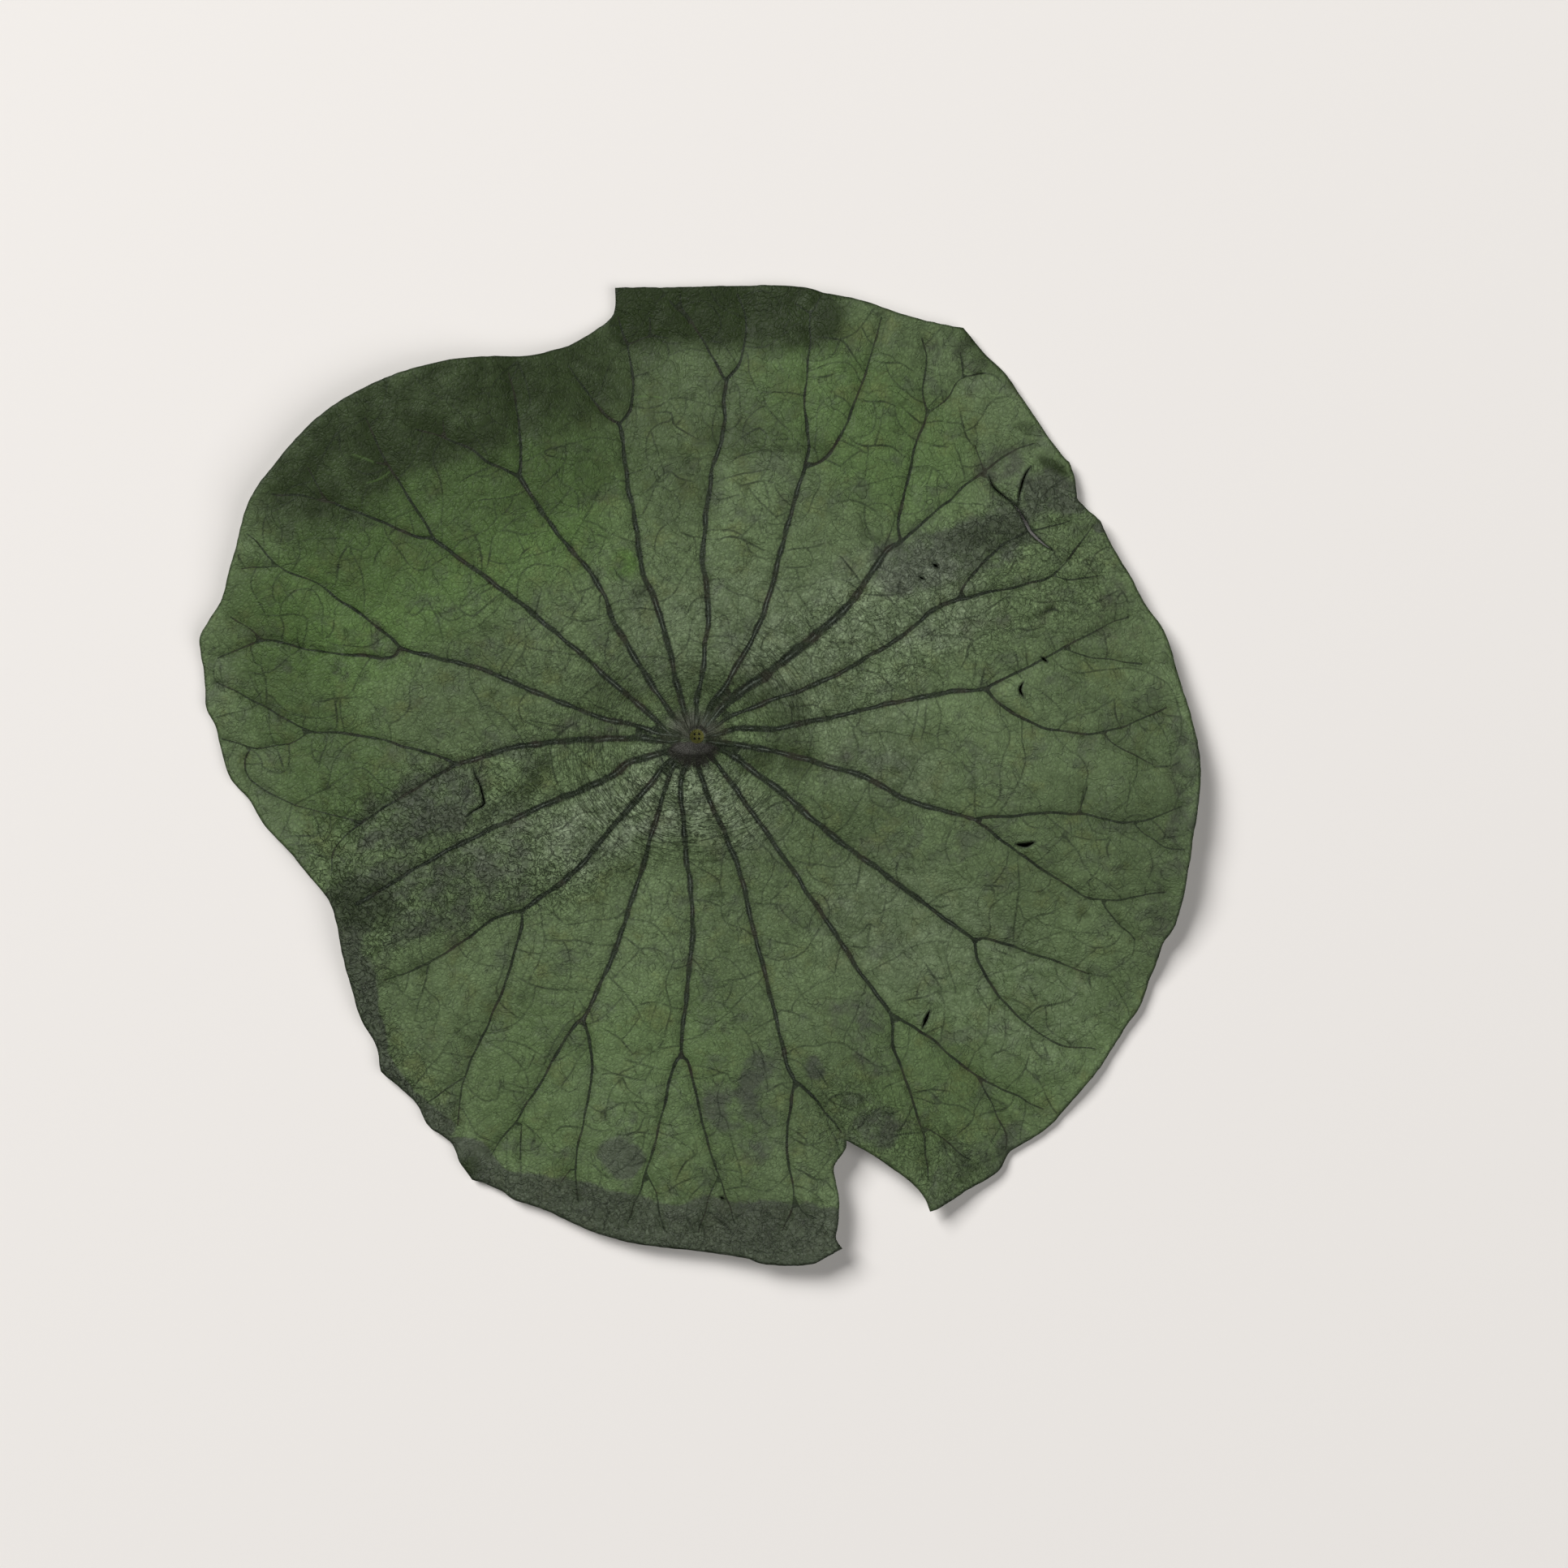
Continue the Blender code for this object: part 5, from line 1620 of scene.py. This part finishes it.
def with_veins(tree, colour, dyes, skin):
    """Add the veins: darker skin beside them, a dark ribbon and its thin, broken pale middle."""
    ragged = add_node(tree, "ShaderNodeMath", {
        0: skin["grain"], 1: 0.9, 2: -0.45,
    }, operation="MULTIPLY_ADD")
    across = add_node(tree, "ShaderNodeMath", {0: skin["across_vein"], 1: ragged})
    ribbon = coated(tree, dyes["vein_edge"], (
        (dyes["vein_brown"], (skin["olive"], 0.5, 0.62, 0, 0.4, EVENLY)),
    ))
    return coated(tree, colour, (
        (dyes["deep_green"], (skin["vein_mm"], 2.1, 0.6, 0, 0.24, SOFTLY)),
        # The ribbon fades where it is uneven or thin, and among the pleats of the hub.
        (ribbon,
         (across, 1.6, 0.85, 0, 1, SOFTLY),
         (skin["uneven"], 0.35, 0.6, 0.82, 1, EVENLY),
         (skin["vein_half_mm"], 0.12, 0.3, 0.72, 1, EVENLY),
         (skin["hub_collar"], 0, 1, 1, 0.4, EVENLY)),
        # The middle shows on wide veins, most of all near the hub: a paler line, partly the vein's
        # own colour and partly painted highlight along its raised middle.
        (dyes["vein_core"],
         (across, 0.36, 0.05, 0, 1, SOFTLY),
         (skin["hub_mm"], 75, 20, 0.35, 0.6, EVENLY),
         (skin["vein_half_mm"], 0.33, 0.42, 0, 1, EVENLY),
         (skin["uneven"], 0.45, 0.58, 0, 1, EVENLY)),
    ))


def with_dry_rim(tree, colour, dyes, skin):
    """Darken the dry rim of the margin and the lips of the splits."""
    edges = (("margin_mm", 0.8, 0.1, 0.55), ("split_mm", 0.7, 0, 0.8))
    rim, lip = (
        add_node(tree, "ShaderNodeMapRange", {
            "Value": skin[name], "From Min": reach, "From Max": full, "To Max": cover,
        }, interpolation_type=SOFTLY)
        for name, reach, full, cover in edges
    )
    darker = add_node(tree, "ShaderNodeMath", {0: rim, 1: lip}, operation="MAXIMUM")
    return coated(tree, colour, ((dyes["vein_edge"], darker),))


def with_hub(tree, colour, dyes, skin):
    """Add the hub: its darker lower side with painted shade, the smooth grey skin, and the olive
    disc with its pinholes.
    """
    fringe = add_node(tree, "ShaderNodeMath", {
        0: skin["streaks"], 1: 1.6, 2: -0.8,
    }, operation="MULTIPLY_ADD")
    shade = add_node(tree, "ShaderNodeMath", {0: skin["hub_shade"], 1: fringe})

    # The four pinholes are the same distance from the disc's middle, across and up.
    away = skin["place"]
    for operation, operand in (
        ("SUBTRACT", (*HubDisc.CENTRE, 0)), ("ABSOLUTE", (0, 0, 0)),
        ("SUBTRACT", (*HubDisc.HOLE_OFFSET, 0)), ("MULTIPLY", (1, 1, 0)),
    ):
        away = add_node(
            tree, "ShaderNodeVectorMath", {0: away, 1: operand}, operation=operation
        )
    away = add_node(tree, "ShaderNodeVectorMath", {0: away}, "Value", operation="LENGTH")
    hole = HubDisc.HOLE_RADIUS
    return coated(tree, colour, (
        # Darker skin and painted shade on the lower side, painted shadow under the rim.
        (dyes["hub_shade"], (shade, 0.3, 0.8, 0, 0.9, SOFTLY)),
        (dyes["hub_skin"], skin["hub_skin"]),
        (dyes["disc"], (skin["disc_mm"], 1.9, 1.6, 0, 0.95, SOFTLY)),
        # Painted shade inside the four pinholes.
        (PINHOLE_SHADE, (away, 1.35 * hole, 0.75 * hole, 0, 1, SOFTLY)),
    ))


def fine_relief(tree, skin):
    """Relief finer than the mesh, as the inputs of a bump whose height is in millimetres."""
    height = add_node(tree, "ShaderNodeMapRange", {
        "Value": skin["cells"], "From Max": 0.3, "To Max": 0.07,
    }, interpolation_type=SOFTLY)
    depths = [("creases", 0.08), ("grain", 0.14)]
    # Crinkles deepen where the blade is crumpled, folds and streaks near the hub.
    for pattern, follows, start, end, least, most, rises in (
        ("crinkles", "crumple", 0.25, 1, 0, 0.42, EVENLY),
        ("folds", "hub_mm", 50, 20, 0.08, 0.5, EVENLY),
        ("streaks", "hub_mm", 13, 5, 0, 1.2, SOFTLY),
    ):
        depths.append((pattern, add_node(tree, "ShaderNodeMapRange", {
            "Value": skin[follows], "From Min": start, "From Max": end, "To Min": least,
            "To Max": most,
        }, interpolation_type=rises)))
    for pattern, depth in depths:
        height = add_node(tree, "ShaderNodeMath", {
            0: skin[pattern], 1: depth, 2: height,
        }, operation="MULTIPLY_ADD")
    return {"Height": height, "Strength": 1.0, "Distance": 1 * MM}


def upper_face_material(dyes):
    """Dyed lotus leaf kept with glycerine: supple, waxy, wrinkled like fine leather."""
    material, tree = new_material("glycerine-preserved lotus leaf, upper face")
    skin = {
        name: add_node(tree, "ShaderNodeAttribute", output="Fac", attribute_name=name)
        for name in ("across_vein", "vein_mm", "vein_half_mm", "across_veinlet", "margin_mm",
                     "split_mm", "hub_mm", "disc_mm", "violet", "bright", "deep", "painted_sheen",
                     "crumple", "veinlet_mark", "hub_skin", "hub_shade", "hub_collar")
    }
    add_patterns(tree, skin)
    colour = dyed_skin(tree, dyes, skin)
    for with_part in (with_veinlets, with_collar, with_veins, with_dry_rim, with_hub):
        colour = with_part(tree, colour, dyes, skin)
    gloss = add_node(tree, "ShaderNodeMapRange", {
        "Value": skin["patches"], "From Min": 0.3, "From Max": 0.7, "To Min": 0.5,
        "To Max": 0.66,
    })
    finish_surface(tree, fine_relief(tree, skin), {
        "Base Color": colour, "Roughness": gloss, "IOR": 1.45, "Specular IOR Level": 0.22,
    })
    return material


def underside_material(dyes):
    """Underside of a preserved lotus leaf: paler, dull and finely felted, with darker ribs."""
    material, tree = new_material("glycerine-preserved lotus leaf, underside")
    place = add_node(tree, "ShaderNodeTexCoord", output="Object")
    across = add_node(
        tree, "ShaderNodeAttribute", output="Fac", attribute_name="across_vein"
    )
    mottle = add_node(tree, "ShaderNodeTexNoise", {
        "Vector": place, "Scale": per(9), "Detail": 5, "Roughness": 0.6,
    })
    colour = coated(tree, dyes["underside"], (
        (dyes["deep_green"], (mottle, 0.35, 0.7, 0, 0.55, EVENLY)),
        (dyes["violet"], (across, 1.6, 0.6, 0, 0.55, SOFTLY)),
    ))
    felt = add_node(tree, "ShaderNodeTexNoise", {
        "Vector": place, "Scale": per(0.6), "Detail": 3,
    })
    finish_surface(tree, {"Height": felt, "Strength": 0.6, "Distance": 0.15 * MM}, {
        "Base Color": colour, "Roughness": 0.75, "IOR": 1.4,
    })
    return material


def stalk_material(dyes):
    """Dried lotus stalk: dull skin, streaked along its length."""
    material, tree = new_material("dried lotus stalk")
    place = add_node(tree, "ShaderNodeTexCoord", output="Object")
    squeezed = add_node(tree, "ShaderNodeMapping", {"Vector": place, "Scale": (1, 1, 0.2)})
    fibres = add_node(tree, "ShaderNodeTexNoise", {
        "Vector": squeezed, "Scale": per(0.8), "Detail": 3,
    })
    colour = coated(tree, dyes["violet"], ((dyes["underside"], fibres),))
    finish_surface(tree, {"Height": fibres, "Strength": 0.8, "Distance": 0.3 * MM}, {
        "Base Color": colour, "Roughness": 0.7, "IOR": 1.45,
    })
    return material


def painted_floor_material(colour):
    """Matt painted board: an even pale coat with a trace of roller texture."""
    material, tree = new_material("matt painted board")
    place = add_node(tree, "ShaderNodeTexCoord", output="Object")
    texture = add_node(tree, "ShaderNodeTexNoise", {"Vector": place, "Scale": per(3)})
    finish_surface(tree, {"Height": texture, "Strength": 0.2, "Distance": 0.05 * MM}, {
        "Base Color": (*colour, 1), "Roughness": 0.9,
    })
    return material


def stand_for_leaf(piece):
    """Let a finished piece stand for the solid leaf."""
    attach(piece, "root")
    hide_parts("lotus_leaf")


class LOTUS_OT_add_blade(bpy.types.Operator):
    """Add the blade with its veins, veinlets, splits and hub"""

    bl_idname = "lotus.add_blade"
    bl_label = "Add Leaf Blade"

    def execute(self, context):
        shape = context.scene.lotus_shape
        dyes = dyes_of(context.scene.lotus_colours)
        # Without a seed of its own, noise_vector would differ from run to run.
        noise.seed_set(shape.growth_seed)
        pattern = BladePattern(shape)
        flat, triangles = pattern.triangulated()
        relief = BladeRelief(pattern, flat, shape)
        mesh = closed_mesh("leaf_blade", relief, triangles)
        mesh.materials.append(upper_face_material(dyes))
        mesh.materials.append(underside_material(dyes))
        blade = bpy.data.objects.new("leaf_blade", mesh)
        context.scene.collection.objects.link(blade)
        stand_for_leaf(blade)
        return {"FINISHED"}


class LOTUS_OT_add_stalk_stub(bpy.types.Operator):
    """Add the stub of the stalk, with the air canals in its cut end"""

    bl_idname = "lotus.add_stalk_stub"
    bl_label = "Add Stalk Stub"

    HEIGHT = 5.4 * MM
    SIDES = 64
    CANALS = 4
    CANAL_RADIUS = 0.75 * MM
    CANAL_DEPTH = 4.0 * MM
    CANAL_SIDES = 20
    CANALS_OUT = 0.45 * STUB_RADIUS

    def execute(self, context):
        hub = -MIDDLE
        middle = Vector((hub.x, hub.y, self.HEIGHT / 2))
        stub = self.add_tube("stalk_stub", STUB_RADIUS, self.HEIGHT, middle, self.SIDES)
        self.shape_stub(stub)
        for place in range(self.CANALS):
            turn = 2 * math.pi * (place + 0.5) / self.CANALS
            centre = hub + self.CANALS_OUT * Vector((math.cos(turn), math.sin(turn)))
            canal = self.add_tube(
                "canal", self.CANAL_RADIUS, 2 * self.CANAL_DEPTH, centre.to_3d(), self.CANAL_SIDES
            )
            self.cut(context, stub, canal)
        stub.data.materials.clear()
        stub.data.materials.append(stalk_material(dyes_of(context.scene.lotus_colours)))
        stand_for_leaf(stub)
        return {"FINISHED"}

    def add_tube(self, name, radius, depth, centre, sides):
        """Add an upright cylinder and bring its place into its mesh."""
        bpy.ops.object.select_all(action="DESELECT")
        bpy.ops.mesh.primitive_cylinder_add(
            vertices=sides, radius=radius, depth=depth, location=centre
        )
        made = bpy.context.object
        made.name = name
        bpy.ops.object.transform_apply(location=True, rotation=False, scale=False)
        return made

    def shape_stub(self, stub):
        """Flare the stub towards the hub."""
        hub = -MIDDLE
        bpy.ops.object.mode_set(mode="EDIT")
        bpy.ops.mesh.select_all(action="DESELECT")
        bpy.ops.object.mode_set(mode="OBJECT")
        for face in stub.data.polygons:
            face.select = face.normal.z > 0.9
        bpy.ops.object.mode_set(mode="EDIT")
        flare = STUB_FLARE_RADIUS / STUB_RADIUS
        bpy.ops.transform.resize(
            value=(flare, flare, 1), center_override=(hub.x, hub.y, self.HEIGHT)
        )
        bpy.ops.object.mode_set(mode="OBJECT")

    def cut(self, context, stub, canal):
        """Cut the canal out of the stub and delete the cutter."""
        bpy.ops.object.select_all(action="DESELECT")
        stub.select_set(True)
        context.view_layer.objects.active = stub
        hole = stub.modifiers.new("air canal", "BOOLEAN")
        hole.operation = "DIFFERENCE"
        hole.solver = "EXACT"
        hole.object = canal
        bpy.ops.object.modifier_apply(modifier=hole.name)
        bpy.data.objects.remove(canal)


class LOTUS_OT_add_stage(bpy.types.Operator):
    """Add the floor, the soft lights and the camera"""

    bl_idname = "lotus.add_stage"
    bl_label = "Add Stage"

    FLOOR_SIZE = 16.0
    LENS_MM = 80
    SENSOR_MM = 36
    VIEW_CENTRE = (21.0 * MM, -2.5 * MM)
    SUBJECT_HEIGHT = 5 * MM

    # Where the square lights stand and how wide they are, in metres.
    KEY_LIGHT = ((-2.4, 2.4, 3.2), 2.2)
    FILL_LIGHT = ((2.6, -1.4, 3.4), 3.6)

    def execute(self, context):
        stage = context.scene.lotus_stage
        self.add_floor(stage)
        self.add_light("key light", *self.KEY_LIGHT, stage.key_power)
        self.add_light("fill light", *self.FILL_LIGHT, stage.fill_power)
        self.add_camera(context, stage)
        context.scene.view_settings.view_transform = "Standard"
        return {"FINISHED"}

    def add_floor(self, stage):
        """Lay the painted board that the leaf lies on."""
        bpy.ops.object.select_all(action="DESELECT")
        bpy.ops.mesh.primitive_plane_add(size=self.FLOOR_SIZE)
        floor = bpy.context.object
        floor.name = "floor"
        floor.data.materials.append(painted_floor_material(stage.floor_colour))

    def add_light(self, name, place, size, power):
        """Add a square soft light that faces the leaf."""
        lamp = bpy.data.lights.new(name, "AREA")
        lamp.energy = power
        lamp.size = size
        light = bpy.data.objects.new(name, lamp)
        light.location = place
        light.rotation_euler = Vector(place).to_track_quat("Z", "Y").to_euler()
        bpy.context.scene.collection.objects.link(light)

    def add_camera(self, context, stage):
        """Look straight down, from as far as the lens needs for the frame."""
        lens = bpy.data.cameras.new("camera")
        lens.lens = self.LENS_MM
        lens.sensor_width = self.SENSOR_MM
        distance = stage.frame_width * self.LENS_MM / self.SENSOR_MM
        camera = bpy.data.objects.new("camera", lens)
        camera.location = (*self.VIEW_CENTRE, self.SUBJECT_HEIGHT + distance)
        context.scene.collection.objects.link(camera)
        context.scene.camera = camera


class LOTUS_PT_panel(bpy.types.Panel):
    """Settings of the leaf and the buttons that make it"""

    bl_idname = "LOTUS_PT_panel"
    bl_label = "Lotus Leaf"
    bl_space_type = "VIEW_3D"
    bl_region_type = "UI"
    bl_category = "Lotus Leaf"

    def draw(self, context):
        for group_name, kind in GROUPS.items():
            box = self.layout.box()
            for name in kind.__annotations__:
                box.prop(getattr(context.scene, group_name), name)
        for operator in OPERATORS:
            self.layout.operator(operator.bl_idname)


GROUPS = {
    "lotus_shape": LotusShape, "lotus_colours": LotusColours, "lotus_stage": LotusStage,
}
OPERATORS = (LOTUS_OT_add_blade, LOTUS_OT_add_stalk_stub, LOTUS_OT_add_stage)
CLASSES = (*GROUPS.values(), *OPERATORS, LOTUS_PT_panel)


def register():
    """Register the classes and give the scene its groups of settings."""
    for made in CLASSES:
        bpy.utils.register_class(made)
    for name, kind in GROUPS.items():
        setattr(bpy.types.Scene, name, PointerProperty(type=kind))


def unregister():
    """Take away what register added."""
    for name in GROUPS:
        delattr(bpy.types.Scene, name)
    for made in reversed(CLASSES):
        bpy.utils.unregister_class(made)


def main():
    """Make the leaf and the studio."""
    register()
    bpy.ops.lotus.add_stage()
    bpy.ops.lotus.add_blade()
    bpy.ops.lotus.add_stalk_stub()


if __name__ == "__main__":
    main()
